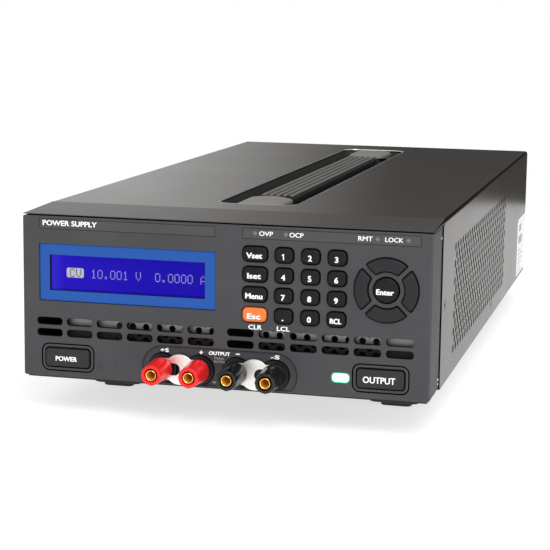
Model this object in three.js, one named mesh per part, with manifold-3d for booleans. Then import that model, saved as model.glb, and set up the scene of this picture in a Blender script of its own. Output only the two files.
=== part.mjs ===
// Bench power supply in a half-width, two-unit instrument case.
// Millimetres, +X to the right seen from the front, +Y to the back, +Z up.
// The pieces are drawn with y = 0 on the front face and z = 0 on the case's underside;
// the last lines shift the whole group so that the origin is under the middle of the object.
import * as THREE from "three";
import { mergeVertices } from "three/addons/utils/BufferGeometryUtils.js";
import Module from "manifold-3d";

// ---- Driving dimensions -------------------------------------------------------------------
const CASE = { width: 214.5, height: 88, depth: 436, corner: 3.5 };
const SHEET = 1.2; // cover, rear panel and handle tray
const FLOOR = 1.0; // chassis sheet
const GAP = 0.3; // between neighbouring solids
const FOOT_HEIGHT = 18;
const POST_REACH = 19.5; // how far the post caps stand in front of the front face
const TERMINAL_REACH = 8; // how far the rear terminals stand behind the cover

// Front wall of the chassis: y of its lower part behind the posts, y of its upper part close
// behind the ventilation slots, and the heights of the step between them and of its top edge.
const FRONT_WALL = { lower: 13, upper: 4.2, step: 20, top: 34.6 };

const BEZEL = { wall: 2.6, side: 2.35, depth: 33, brow: 39.5, bottom: 1.2, top: 86 };

// Display window and the lit screen inside it: left, right, low, high.
const WINDOW = { x0: -98, x1: -3.3, z0: 41.4, z1: 70.9, sink: 0.9 };
const SCREEN = { x0: -92.6, x1: -8.9, z0: 46.7, z1: 65.3, sink: 4.2 };

// Keypad: four rows, the first column wider than the other three.
const KEY = { high: 8, corner: 2.7, proud: 1.5, back: 8, flange: 0.8, slack: 0.5 };
const KEY_ROWS = [71.5, 61.2, 50.95, 40.6];
const KEY_COLUMNS = [
  { x: 17.85, wide: 13, names: ["vset", "iset", "menu", "esc"] },
  { x: 32.85, wide: 9.7, names: ["1", "4", "7", "point"] },
  { x: 46.4, wide: 9.7, names: ["2", "5", "8", "0"] },
  { x: 59.95, wide: 9.7, names: ["3", "6", "9", "recall"] },
];

// Ring of four arrow keys around the round enter key.
const PAD = { x: 84.5, z: 56.5, enter: 6.6, inner: 9.4, outer: 16.3, split: 3.1 };

// Two rows of ventilation slots in two groups of six.
const SLOT = { wide: 13.9, high: 3.9, corner: 1.7, pitch: 16.36, count: 6 };
const SLOT_ROWS = [30.5, 24.5];
const SLOT_GROUPS = [-51.65, 51.05];

// POWER and OUTPUT buttons, mirrored about the middle.
const PUSH = { x: 82.6, z: 11.6, wide: 23.7, high: 9.4, corner: 1.6 };
const PUSH_FIT = { proud: 1.2, back: 9, flange: 1.4, slack: 0.7 };
const LAMP = { x: 62.15, z: 11, wide: 8.9, high: 4.4, corner: 1.8 };

// Binding posts, all on one height, from left to right.
const POST_Z = 9.8;
const POSTS = [
  { name: "sense_plus", x: -31, red: true },
  { name: "plus", x: -11.4, red: true },
  { name: "minus", x: 8.3, red: false },
  { name: "sense_minus", x: 28.2, red: false },
];
const POST = { stud: 2.8, socket: 2, bore: 3.15, cap: 5.6, skirt: 6.2, collar: 7.7, rear: -2.5 };
const POCKET = { x0: -41.5, x1: 39.4, radius: 11, sink: 1.2 };
const LINK = { end: 6.6, middle: 8.4, y0: -2.2, y1: -1.2, hole: 3.2, slot: 10 };

// Recess in the cover's top with the carrying strap in it.
const RECESS = { half: 22.4, y0: 64, y1: 405, corner: 10, floor: 62.2 };
const STRAP = { half: 10.6, low: 80.7, high: 88, tail: 12, tongue: 3.6, link: 42, ridges: 5 };
const STRAP_CAP = { half: 12.6, long: 42, inset: 2, roof: 85, top: 89 };
const MOUTH = 2; // from a strap cap's edge to the strap's pivot

const FOOT = { inner: 60, outer: 93, low: 64.7, long: 28, front: 62, rear: 374, pad: 2 };
const FOOT_PAD = { x0: 70.5, x1: 87.3, inset: 4 }; // flat face that the case stands on

const REAR_PANEL = { y0: 432.6, y1: 433.8 };
const FAN = { x: -62, z: 45, size: 60, depth: 25, bore: 28.3, blades: 7, hub: 14.5 };
const INLET = { x: 76, z: 30, wide: 27.4, high: 20, ears: 48, deep: 27 };
const TERMINALS = { x0: -22, x1: 28, z0: 15, z1: 31, ways: 6 };
const GRILLE = { rings: [[7, 12], [14.5, 19.5], [22, 27]], spoke: 1.44 };

const BOARD = { top: 9.8, thick: 1.6, half: 96, y0: 56, y1: 398 };
const TRANSFORMER = { x: -58, y: 220, z: 10.1, core: [52, 28, 44], winding: [38, 50, 34] };
const HEAT_SINK = { x0: 56, x1: 98, z0: 10.1, z1: 58, y0: 130, y1: 300, fins: 6, web: 6 };

// ---- Solids -------------------------------------------------------------------------------
const wasm = await Module();
wasm.setup();

/** A closed geometry as a manifold solid, turned the right way out. */
function solid(geometry) {
  const bare = geometry.clone();
  bare.deleteAttribute("normal");
  bare.deleteAttribute("uv");
  const merged = mergeVertices(bare, 1e-4);
  const corners = Array.from(merged.index.array);
  const kept = [];
  for (let i = 0; i < corners.length; i += 3) {
    const [a, b, c] = corners.slice(i, i + 3);
    if (a !== b && b !== c && a !== c) kept.push(a, b, c);
  }
  const build = (triVerts) =>
    new wasm.Manifold(
      new wasm.Mesh({
        numProp: 3,
        vertProperties: new Float32Array(merged.attributes.position.array),
        triVerts: new Uint32Array(triVerts),
      }),
    );
  const made = build(kept);
  if (made.volume() >= 0) return made;
  for (let i = 0; i < kept.length; i += 3) [kept[i + 1], kept[i + 2]] = [kept[i + 2], kept[i + 1]];
  return build(kept);
}

function geometryOf(made) {
  const mesh = made.getMesh();
  const stride = mesh.numProp;
  const points = [];
  for (let i = 0; i < mesh.vertProperties.length; i += stride) {
    points.push(...mesh.vertProperties.slice(i, i + 3));
  }
  const geometry = new THREE.BufferGeometry();
  geometry.setAttribute("position", new THREE.Float32BufferAttribute(points, 3));
  geometry.setIndex(Array.from(mesh.triVerts));
  geometry.computeVertexNormals();
  return geometry;
}

const join = (...pieces) =>
  geometryOf(pieces.map(solid).reduce((whole, piece) => whole.add(piece)));

function cut(body, ...tools) {
  return geometryOf(tools.map(solid).reduce((left, tool) => left.subtract(tool), solid(body)));
}

const overlap = (a, b) => geometryOf(solid(a).intersect(solid(b)));

// ---- Shapes -------------------------------------------------------------------------------
function box(x0, x1, y0, y1, z0, z1) {
  const shape = new THREE.BoxGeometry(x1 - x0, y1 - y0, z1 - z0);
  return shape.translate((x0 + x1) / 2, (y0 + y1) / 2, (z0 + z1) / 2);
}

function outline(points) {
  return new THREE.Shape(points.map(([a, b]) => new THREE.Vector2(a, b)));
}

/** Rectangle with round corners, each corner an arc of `steps` straight pieces. */
function roundedRectangle(a0, a1, b0, b1, radius, steps = 2) {
  const points = [];
  const centres = [
    [a1 - radius, b1 - radius],
    [a0 + radius, b1 - radius],
    [a0 + radius, b0 + radius],
    [a1 - radius, b0 + radius],
  ];
  centres.forEach(([a, b], corner) => {
    for (let i = 0; i <= steps; i++) {
      const turn = ((corner + i / steps) * Math.PI) / 2;
      points.push([a + radius * Math.cos(turn), b + radius * Math.sin(turn)]);
    }
  });
  return outline(points);
}

const extrude = (shape, depth) =>
  new THREE.ExtrudeGeometry(shape, { depth, bevelEnabled: false, steps: 1 });

/** An outline in X and Z, run from y0 to y1. */
const alongY = (shape, y0, y1) =>
  extrude(shape, y1 - y0).rotateX(Math.PI / 2).translate(0, y1, 0);

/** An outline in X and Y, run from z0 to z1. */
const alongZ = (shape, z0, z1) => extrude(shape, z1 - z0).translate(0, 0, z0);

/** An outline in Y and Z, run from x0 to x1. */
function alongX(shape, x0, x1) {
  const turn = new THREE.Matrix4().makeBasis(
    new THREE.Vector3(0, 1, 0),
    new THREE.Vector3(0, 0, 1),
    new THREE.Vector3(1, 0, 0),
  );
  return extrude(shape, x1 - x0).applyMatrix4(turn).translate(x0, 0, 0);
}

/** A profile of [radius, y] points turned about the line through (x, z) along Y. */
function turned(profile, x, z, sides = 16) {
  const points = profile.map(([r, y]) => new THREE.Vector2(r, y));
  return geometryOf(solid(new THREE.LatheGeometry(points, sides).translate(x, 0, z)));
}

const rod = (radius, y0, y1, x, z, sides = 16) =>
  turned([[0, y0], [radius, y0], [radius, y1], [0, y1]], x, z, sides);

/** A post along Z. */
const pillar = (radius, z0, z1, x, y, sides = 12) =>
  new THREE.CylinderGeometry(radius, radius, z1 - z0, sides)
    .rotateX(Math.PI / 2)
    .translate(x, y, (z0 + z1) / 2);

/** A rounded block seen from the front, centred on (x, z). */
function pad(x, z, wide, high, corner, y0, y1) {
  const shape = roundedRectangle(x - wide / 2, x + wide / 2, z - high / 2, z + high / 2, corner);
  return alongY(shape, y0, y1);
}

/** A sector of a ring seen from the front, between two radii and two angles. */
function ringSector(x, z, inner, outer, from, to, y0, y1, steps = 6) {
  const points = [];
  for (let i = 0; i <= steps; i++) {
    const turn = from + ((to - from) * i) / steps;
    points.push([x + outer * Math.cos(turn), z + outer * Math.sin(turn)]);
  }
  for (let i = steps; i >= 0; i--) {
    const turn = from + ((to - from) * i) / steps;
    points.push([x + inner * Math.cos(turn), z + inner * Math.sin(turn)]);
  }
  return alongY(outline(points), y0, y1);
}

// ---- The group and its materials ------------------------------------------------------------
const supply = new THREE.Group();

const LOOKS = {
  paint: { color: 0x6b6964, roughness: 0.5, metalness: 0.1 },
  bezel: { color: 0x48484c, roughness: 0.55, metalness: 0 },
  steel: { color: 0xa9abad, roughness: 0.4, metalness: 0.9 },
  tray: { color: 0x2a2a2b, roughness: 0.6, metalness: 0 },
  key: { color: 0x17181a, roughness: 0.5, metalness: 0 },
  orange: { color: 0xe8702a, roughness: 0.45, metalness: 0 },
  lens: { color: 0x2f66c8, roughness: 0.2, metalness: 0 },
  screen: { color: 0x2a16c8, roughness: 0.15, metalness: 0 },
  lamp: { color: 0xbff7d8, roughness: 0.25, metalness: 0 },
  red: { color: 0xcf1f22, roughness: 0.3, metalness: 0 },
  black: { color: 0x141416, roughness: 0.35, metalness: 0 },
  brass: { color: 0xc99a3c, roughness: 0.25, metalness: 1 },
  nickel: { color: 0xd8d6d2, roughness: 0.3, metalness: 0.9 },
  rubber: { color: 0x232324, roughness: 0.8, metalness: 0 },
  strap: { color: 0x56544f, roughness: 0.6, metalness: 0 },
  board: { color: 0x1f5a3a, roughness: 0.5, metalness: 0 },
  copper: { color: 0x8a5a2c, roughness: 0.5, metalness: 0.2 },
  aluminium: { color: 0xb8babc, roughness: 0.45, metalness: 0.9 },
};

function add(name, look, geometry) {
  const mesh = new THREE.Mesh(geometry, new THREE.MeshStandardMaterial(LOOKS[look]));
  mesh.name = name;
  supply.add(mesh);
}

// ---- Case -------------------------------------------------------------------------------------
const HALF = CASE.width / 2;
const QUARTER = Math.PI / 2;
const PLATE_BACK = BEZEL.wall + GAP; // first free plane behind the bezel's front wall

/** Arch of the cover's section: the top and both sides, `inset` inside the outer face. */
function coverSection(inset) {
  const radius = CASE.corner - Math.min(inset, CASE.corner - 1);
  const half = HALF - inset;
  const top = CASE.height - inset;
  const points = [[-half, 0]];
  for (let i = 0; i <= 3; i++) {
    const turn = Math.PI - (i / 3) * QUARTER;
    points.push([-half + radius * (1 + Math.cos(turn)), top - radius * (1 - Math.sin(turn))]);
  }
  for (let i = 0; i <= 3; i++) {
    const turn = QUARTER - (i / 3) * QUARTER;
    points.push([half - radius * (1 - Math.cos(turn)), top - radius * (1 - Math.sin(turn))]);
  }
  points.push([half, 0]);
  return points;
}

function topCover() {
  const arch = outline([...coverSection(0), ...coverSection(SHEET).reverse()]);
  const sideFront = BEZEL.depth + 1;
  const topFront = BEZEL.brow + 0.5;
  const browNotch = box(-HALF - 1, HALF + 1, 0, topFront, CASE.height - 4.1, CASE.height + 1);
  const opening = roundedRectangle(
    -RECESS.half, RECESS.half, RECESS.y0, RECESS.y1, RECESS.corner, 4,
  );
  const handleHole = alongZ(opening, CASE.height - 5, CASE.height + 1);
  return cut(alongY(arch, sideFront, CASE.depth), browNotch, handleHole);
}

function baseChassis() {
  const half = HALF - SHEET - 0.35;
  const wall = half - 1.5;
  const { lower, upper, step, top } = FRONT_WALL;
  const pieces = [
    box(-half, half, 3, CASE.depth - 1.6, 0, FLOOR),
    box(-wall, wall, lower, lower + FLOOR, 0, step),
    box(-wall, wall, upper, lower + FLOOR, step - FLOOR, step),
    box(-wall, wall, upper, upper + FLOOR, step - FLOOR, top),
  ];
  for (const side of [-1, 1]) {
    const [x0, x1] = [side * half, side * (half - FLOOR)].sort((a, b) => a - b);
    pieces.push(box(x0, x1, 36, REAR_PANEL.y0 - 0.6, 0, 12));
    for (const y of [80, 380]) pieces.push(pillar(3.5, 0.5, 8, side * 85, y));
  }
  return join(...pieces);
}

/** Rear panel with a punched fan grille and cut-outs for the inlet and the terminals. */
function rearPanel() {
  const half = HALF - SHEET - 0.65;
  const { y0, y1 } = REAR_PANEL;
  const edge = roundedRectangle(-half, half, FLOOR + GAP, CASE.height - SHEET - 0.6, 2.4);
  const plate = alongY(edge, y0, y1);
  const tools = [];
  for (const [inner, outer] of GRILLE.rings) {
    for (let i = 0; i < 4; i++) {
      const from = i * QUARTER + GRILLE.spoke / inner;
      const to = (i + 1) * QUARTER - GRILLE.spoke / inner;
      tools.push(ringSector(FAN.x, FAN.z, inner, outer, from, to, y0 - 1, y1 + 1, 5));
    }
  }
  tools.push(pad(INLET.x, INLET.z, INLET.wide + 0.8, INLET.high + 0.8, 2, y0 - 1, y1 + 1));
  tools.push(box(TERMINALS.x0 + 1.5, TERMINALS.x1 - 1.5, y0 - 1, y1 + 1, 16.5, 29.5));
  return cut(plate, ...tools);
}

// ---- Front ------------------------------------------------------------------------------------
const slotCentres = SLOT_GROUPS.flatMap((middle) =>
  SLOT_ROWS.flatMap((z) =>
    Array.from({ length: SLOT.count }, (_, i) => [
      middle + (i - (SLOT.count - 1) / 2) * SLOT.pitch,
      z,
    ]),
  ),
);

/** One arrow key's outline: a ring sector trimmed by straight, parallel-sided diagonal gaps. */
function arrowOutline(quarter, slack) {
  const inner = PAD.inner - slack;
  const outer = PAD.outer + slack;
  const halfSplit = PAD.split / 2 - slack;
  const edge = (radius) => QUARTER / 2 - Math.asin(halfSplit / radius);
  const steps = 6;
  const points = [];
  for (let i = 0; i <= steps; i++) {
    const turn = quarter * QUARTER + edge(outer) * ((2 * i) / steps - 1);
    points.push([PAD.x + outer * Math.cos(turn), PAD.z + outer * Math.sin(turn)]);
  }
  for (let i = steps; i >= 0; i--) {
    const turn = quarter * QUARTER + edge(inner) * ((2 * i) / steps - 1);
    points.push([PAD.x + inner * Math.cos(turn), PAD.z + inner * Math.sin(turn)]);
  }
  return outline(points);
}

function frontBezel() {
  const profile = outline([
    [0, BEZEL.bottom + 1],
    [0.8, BEZEL.bottom],
    [BEZEL.depth, BEZEL.bottom],
    [BEZEL.depth, CASE.height - 3.8],
    [BEZEL.brow, CASE.height - 3.8],
    [BEZEL.brow, CASE.height],
    [0.8, BEZEL.top],
    [0, BEZEL.top - 0.8],
  ]);
  const plan = roundedRectangle(-HALF, HALF, 0, 60, 3, 3);
  const shell = overlap(alongX(profile, -HALF, HALF), alongZ(plan, -1, CASE.height + 1));
  const inside = HALF - BEZEL.side;
  const through = [-1, BEZEL.wall + 1];
  const tools = [
    box(-inside, inside, BEZEL.wall, BEZEL.brow + 1, 3.6, CASE.height - 3.8),
    box(-inside, inside, FRONT_WALL.lower - GAP, BEZEL.brow + 1, 0, 3.7),
    box(WINDOW.x0 - GAP, WINDOW.x1 + GAP, ...through, WINDOW.z0 - GAP, WINDOW.z1 + GAP),
    rod(PAD.enter + KEY.slack, ...through, PAD.x, PAD.z, 20),
    pad(LAMP.x, LAMP.z, LAMP.wide + 0.6, LAMP.high + 0.6, LAMP.corner, ...through),
  ];
  for (const column of KEY_COLUMNS) {
    for (const z of KEY_ROWS) {
      const wide = column.wide + 2 * KEY.slack;
      tools.push(pad(column.x, z, wide, KEY.high + 2 * KEY.slack, KEY.corner, ...through));
    }
  }
  for (let i = 0; i < 4; i++) tools.push(alongY(arrowOutline(i, KEY.slack), ...through));
  for (const [x, z] of slotCentres) {
    tools.push(pad(x, z, SLOT.wide, SLOT.high, SLOT.corner, ...through));
  }
  for (const side of [-1, 1]) {
    const [wide, high] = [PUSH.wide + 2 * PUSH_FIT.slack, PUSH.high + 2 * PUSH_FIT.slack];
    tools.push(pad(side * PUSH.x, PUSH.z, wide, high, PUSH.corner, ...through));
  }
  const { x0, x1, radius, sink } = POCKET;
  const pocket = roundedRectangle(x0, x1, POST_Z - radius, POST_Z + radius, radius, 6);
  tools.push(alongY(pocket, -1, sink));
  for (const post of POSTS) tools.push(rod(POST.collar + GAP, ...through, post.x, POST_Z, 20));
  return cut(shell, ...tools);
}

/** Lit surround of the display: a ring with a flange that the bezel holds from the front. */
function displayFrame() {
  const ring = box(WINDOW.x0, WINDOW.x1, WINDOW.sink, 3.9, WINDOW.z0, WINDOW.z1);
  const flange = box(WINDOW.x0 - 2, WINDOW.x1 + 2, PLATE_BACK, 3.9, WINDOW.z0 - 2, WINDOW.z1 + 2);
  const view = box(SCREEN.x0, SCREEN.x1, 0, 5, SCREEN.z0, SCREEN.z1);
  return cut(join(ring, flange), view);
}

const lcdPanel = () =>
  box(SCREEN.x0 - 2, SCREEN.x1 + 2, SCREEN.sink, 9, SCREEN.z0 - 2, SCREEN.z1 + 2);

/** A key: the cap that is touched and the flange that stops it behind the front wall. */
function key(x, z, wide, high, corner, fit) {
  const cap = pad(x, z, wide, high, corner, -fit.proud, fit.back);
  const rim = 2 * fit.flange;
  const stop = pad(x, z, wide + rim, high + rim, corner, PLATE_BACK, PLATE_BACK + 1);
  return join(cap, stop);
}

function addKeypad() {
  for (const column of KEY_COLUMNS) {
    column.names.forEach((name, row) => {
      const look = name === "esc" ? "orange" : "key";
      const shape = key(column.x, KEY_ROWS[row], column.wide, KEY.high, KEY.corner, KEY);
      add(`key_${name}`, look, shape);
    });
  }
  ["right", "up", "left", "down"].forEach((name, quarter) => {
    const cap = alongY(arrowOutline(quarter, 0), -KEY.proud, KEY.back);
    const flange = alongY(arrowOutline(quarter, KEY.flange), PLATE_BACK, PLATE_BACK + 1);
    add(`arrow_${name}`, "key", join(cap, flange));
  });
  const enter = turned(
    [
      [0, -KEY.proud],
      [PAD.enter, -KEY.proud],
      [PAD.enter, PLATE_BACK],
      [PAD.enter + KEY.flange, PLATE_BACK],
      [PAD.enter + KEY.flange, PLATE_BACK + 1],
      [PAD.enter, PLATE_BACK + 1],
      [PAD.enter, KEY.back],
      [0, KEY.back],
    ],
    PAD.x,
    PAD.z,
    20,
  );
  add("key_enter", "key", enter);
}

function addFront() {
  const push = (side) => key(side * PUSH.x, PUSH.z, PUSH.wide, PUSH.high, PUSH.corner, PUSH_FIT);
  const lamp = join(
    pad(LAMP.x, LAMP.z, LAMP.wide, LAMP.high, LAMP.corner, -0.3, 6),
    pad(LAMP.x, LAMP.z, LAMP.wide + 2, LAMP.high + 2, LAMP.corner, PLATE_BACK, 3.9),
  );
  add("front_bezel", "bezel", frontBezel());
  add("display_frame", "lens", displayFrame());
  add("lcd_panel", "screen", lcdPanel());
  addKeypad();
  add("keypad_mat", "rubber", box(8, 103, 9.5, 10.6, 34, 78.5));
  add("front_board", "board", box(-101, 103.5, 10.9, 12.5, 36.8, 83.5));
  add("power_button", "key", push(-1));
  add("output_button", "key", push(1));
  add("output_lamp", "lamp", lamp);
}

// ---- Binding posts ------------------------------------------------------------------------------
function postStud(x) {
  const nut = { radius: 4.6, y0: 6.5, y1: 9.3 };
  const front = -POST_REACH + 0.2;
  const profile = [
    [0, -4],
    [POST.socket, -4],
    [POST.socket, front],
    [POST.stud, front],
    [POST.stud, nut.y0],
    [nut.radius, nut.y0],
    [nut.radius, nut.y1],
    [0, nut.y1],
  ];
  return turned(profile, x, POST_Z, 14);
}

function postCap(x) {
  const profile = [
    [POST.bore, POST.rear],
    [POST.skirt, POST.rear],
    [POST.skirt, POST.rear - 2.5],
    [POST.cap, POST.rear - 3.5],
    [POST.cap - 0.2, -POST_REACH + 0.9],
    [POST.cap - 0.9, -POST_REACH],
    [POST.bore, -POST_REACH],
    [POST.bore, POST.rear],
  ];
  return turned(profile, x, POST_Z, 16);
}

/** Moulded insulator behind the front wall, with a collar through it for each post. */
function postBase() {
  const plate = pad(-1.4, 11.5, 79, 15, 2, PLATE_BACK, 6.2);
  const collars = POSTS.map((post) => rod(POST.collar, -1, PLATE_BACK + 0.4, post.x, POST_Z, 20));
  const bores = POSTS.map((post) => rod(POST.bore, -2, 8, post.x, POST_Z, 14));
  return cut(join(plate, ...collars), ...bores);
}

/** Shorting link from a main post to its sense post, with a slot so that it slides off. */
function link(mainX, senseX) {
  const { y0, y1, end, middle } = LINK;
  const centre = (mainX + senseX) / 2;
  const toMain = Math.sign(mainX - senseX);
  const [low, high] = [Math.min(mainX, senseX), Math.max(mainX, senseX)];
  const body = join(
    rod(end, y0, y1, mainX, POST_Z, 20),
    rod(end, y0, y1, senseX, POST_Z, 20),
    rod(middle, y0, y1, centre, POST_Z, 24),
    box(low, high, y0, y1, POST_Z - 4.6, POST_Z + 4.6),
  );
  const r = LINK.hole;
  const far = senseX + toMain * (LINK.slot - r);
  const [slot0, slot1] = [Math.min(senseX, far) - r, Math.max(senseX, far) + r];
  const slot = roundedRectangle(slot0, slot1, POST_Z - r, POST_Z + r, r - 0.01, 4);
  return cut(body, rod(r, y0 - 1, y1 + 1, mainX, POST_Z), alongY(slot, y0 - 1, y1 + 1));
}

function addPosts() {
  add("post_base", "black", postBase());
  for (const post of POSTS) {
    add(`post_stud_${post.name}`, "brass", postStud(post.x));
    add(`post_cap_${post.name}`, post.red ? "red" : "black", postCap(post.x));
  }
  add("link_plus", "nickel", link(POSTS[1].x, POSTS[0].x));
  add("link_minus", "nickel", link(POSTS[2].x, POSTS[3].x));
}

// ---- Carrying strap -----------------------------------------------------------------------------
const FRONT_CAP_END = RECESS.y0 + STRAP_CAP.inset + STRAP_CAP.long;
const REAR_CAP_END = RECESS.y1 - STRAP_CAP.inset - STRAP_CAP.long;
const PIVOTS = [
  FRONT_CAP_END + MOUTH,
  FRONT_CAP_END + MOUTH + STRAP.link,
  REAR_CAP_END - MOUTH - STRAP.link,
  REAR_CAP_END - MOUTH,
];

function handleTray() {
  const { half, y0, y1, corner, floor } = RECESS;
  const top = CASE.height - SHEET - GAP;
  const layer = (grow, z0, z1) =>
    alongZ(roundedRectangle(-half - grow, half + grow, y0 - grow, y1 + grow, corner, 4), z0, z1);
  const body = join(layer(SHEET, floor - SHEET, top), layer(7, top - 1, top));
  return cut(body, layer(0, floor, top + 1));
}

/** Cap over one end of the strap: a screwed boss on the tray floor and a roof over the tail. */
function strapCap(edge, away) {
  const { half, long, roof, top } = STRAP_CAP;
  const back = edge + away * long;
  const [y0, y1] = [Math.min(edge, back), Math.max(edge, back)];
  const cover = alongZ(roundedRectangle(-half, half, y0, y1, 5, 3), roof, top - 0.8);
  const crown = alongZ(
    roundedRectangle(-half + 1.5, half - 1.5, y0 + 1.5, y1 - 1.5, 4, 3), roof, top,
  );
  const boss0 = Math.min(back - away * 5, back - away * 27);
  const boss = box(-9, 9, boss0, boss0 + 22, RECESS.floor + GAP, roof + 0.5);
  return join(cover, crown, boss);
}

/** Section of the strap in X and Z: a flat bar with ridges along its top. */
function strapSection() {
  const { half, low, high, ridges } = STRAP;
  const valley = high - 1.4;
  const pitch = 4;
  const points = [
    [-half + 0.8, low],
    [half - 0.8, low],
    [half, low + 1.2],
    [half, valley - 0.6],
    [half - 0.7, valley],
  ];
  for (let i = ridges - 1; i >= 0; i--) {
    const x = (i - (ridges - 1) / 2) * pitch;
    points.push([x + 1.4, valley], [x + 0.9, high], [x - 0.9, high], [x - 1.4, valley]);
  }
  points.push([-half + 0.7, valley], [-half, valley - 0.6], [-half, low + 1.2]);
  return outline(points);
}

/** End stretch of the strap, with its plain tongue that runs in under the cap. */
function strapEnd(pivot, knee) {
  const away = Math.sign(pivot - knee);
  const body0 = knee + away * 0.2;
  const body1 = pivot - away * 1.5;
  const body = alongY(strapSection(), Math.min(body0, body1), Math.max(body0, body1));
  const tip = pivot + away * STRAP.tail;
  const [y0, y1] = [Math.min(tip, body1 - away), Math.max(tip, body1 - away)];
  const low = STRAP.low + 0.01;
  return join(body, box(-9, 9, y0, y1, low, low + STRAP.tongue));
}

function addStrap() {
  add("handle_tray", "tray", handleTray());
  add("strap_cap_front", "strap", strapCap(FRONT_CAP_END, -1));
  add("strap_cap_rear", "strap", strapCap(REAR_CAP_END, 1));
  add("strap_front", "strap", strapEnd(PIVOTS[0], PIVOTS[1]));
  add("strap_grip", "strap", alongY(strapSection(), PIVOTS[1] + 0.2, PIVOTS[2] - 0.2));
  add("strap_rear", "strap", strapEnd(PIVOTS[3], PIVOTS[2]));
}

// ---- Feet -----------------------------------------------------------------------------------------
function foot(side, front) {
  const { inner, outer, low, long, pad: padHigh } = FOOT;
  const bottom = -FOOT_HEIGHT + padHigh;
  const across = [
    [inner, -0.2],
    [inner, -2.5],
    [low, bottom],
    [outer - 0.3, bottom],
    [outer - 0.3, -3.5],
    [outer, -3.5],
    [outer, -0.2],
  ];
  const body = alongY(outline(across.map(([x, z]) => [side * x, z])), front, front + long);
  const [x0, x1] = [side * FOOT_PAD.x0, side * FOOT_PAD.x1].sort((a, b) => a - b);
  const [y0, y1] = [front + FOOT_PAD.inset, front + long - FOOT_PAD.inset];
  return join(body, box(x0, x1, y0, y1, -FOOT_HEIGHT, bottom + 0.5));
}

// ---- Rear and inside --------------------------------------------------------------------------------
function fanFrame() {
  const { x, z, size, depth, bore } = FAN;
  const y1 = REAR_PANEL.y0 - 0.4;
  const y0 = y1 - depth;
  const body = pad(x, z, size, size, 5, y0, y1);
  const hollow = rod(bore, y0 - 1, y1 + 1, x, z, 24);
  const arms = [0, 1, 2].map((i) => {
    const arm = box(8, bore + 0.8, y0, y0 + 2.4, -1.6, 1.6);
    return arm.rotateY((i * 2 * Math.PI) / 3).translate(x, 0, z);
  });
  const seat = rod(12.5, y0, y0 + 2.6, x, z, 16);
  const shaft = rod(2, y0 + 1, y0 + 17, x, z, 10);
  return join(cut(body, hollow), ...arms, seat, shaft);
}

function fanRotor() {
  const { x, z, depth, hub, blades } = FAN;
  const y0 = REAR_PANEL.y0 - 0.4 - depth + 3.2;
  const y1 = y0 + 20;
  const core = turned(
    [
      [0, y1 - 3],
      [2.4, y1 - 3],
      [2.4, y0],
      [hub, y0],
      [hub, y1 - 1],
      [hub - 1, y1],
      [0, y1],
    ],
    x,
    z,
    20,
  );
  const vanes = Array.from({ length: blades }, (_, i) => {
    const vane = new THREE.BoxGeometry(FAN.bore - 1 - hub + 2.5, 17, 1.4);
    vane.rotateX(0.7).translate((FAN.bore - 1 + hub - 2.5) / 2, 0, 0);
    return vane.rotateY((i * 2 * Math.PI) / blades).translate(x, (y0 + y1) / 2, z);
  });
  return join(core, ...vanes);
}

/** Mains inlet: a flanged body with a hollow for the plug and three blades in it. */
function mainsInlet() {
  const { x, z, wide, high, ears, deep } = INLET;
  const face = REAR_PANEL.y1 + GAP;
  const body = join(
    pad(x, z, wide, high, 2.5, face - deep, face + 1),
    pad(x, z, ears, high + 2.5, 6, face, face + 3),
  );
  const hollow = pad(x, z, 24.2, 16.6, 2, face - 13.5, face + 4);
  const blades = [[-7, -1.8], [7, -1.8], [0, 2.6]].map(([dx, dz]) =>
    box(x + dx - 1, x + dx + 1, face - 14.5, face - 2.6, z + dz - 2, z + dz + 2),
  );
  return join(cut(body, hollow), ...blades);
}

/** Rear output block: a barrier strip with one open cell for each way. */
function rearTerminals() {
  const { x0, x1, z0, z1, ways } = TERMINALS;
  const face = REAR_PANEL.y1 + GAP;
  const end = CASE.depth + TERMINAL_REACH;
  const neck = box(x0 + 2, x1 - 2, face - 8, face + 1, z0 + 2, z1 - 2);
  const block = box(x0, x1, face, end, z0, z1);
  const pitch = (x1 - x0 - 2) / ways;
  const cells = Array.from({ length: ways }, (_, i) => {
    const left = x0 + 1.6 + i * pitch;
    return box(left, left + pitch - 1.2, face + 4, end + 1, z0 + 5, z1 + 1);
  });
  return cut(join(neck, block), ...cells);
}

/** Main board with its large components: capacitors, coils and power blocks. */
function mainBoard() {
  const { top, thick, half, y0, y1 } = BOARD;
  const low = top - 1;
  return join(
    box(-half, half, y0, y1, top - thick, top),
    pillar(12, low, 52, -72, 96),
    pillar(12, low, 52, -72, 124),
    pillar(9, low, 38, 74, 342),
    pillar(9, low, 38, 74, 364),
    box(-90, -62, 330, 372, low, 34),
    box(20, 52, 70, 98, low, 30),
    box(-30, 6, 350, 374, low, 28),
  );
}

/** Switching transformer: a ferrite core around a wound bobbin. */
function transformer() {
  const { x, y, z, core, winding } = TRANSFORMER;
  const [wide, long, high] = core;
  const [coilWide, coilLong, coilHigh] = winding;
  return join(
    box(x - wide / 2, x + wide / 2, y - long / 2, y + long / 2, z, z + high),
    pad(x, z + high / 2, coilWide, coilHigh, 6, y - coilLong / 2, y + coilLong / 2),
  );
}

/** Finned aluminium extrusion that carries the power transistors. */
function heatSink() {
  const { x0, x1, z0, z1, y0, y1, fins, web } = HEAT_SINK;
  const pitch = (z1 - z0) / (fins - 0.5);
  const points = [[x0, z0]];
  for (let i = 0; i < fins; i++) {
    const z = z0 + i * pitch;
    points.push([x1, z], [x1, z + pitch / 2]);
    if (i < fins - 1) points.push([x0 + web, z + pitch / 2], [x0 + web, z + pitch]);
  }
  points.push([x0, z1]);
  return alongY(outline(points), y0, y1);
}

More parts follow.
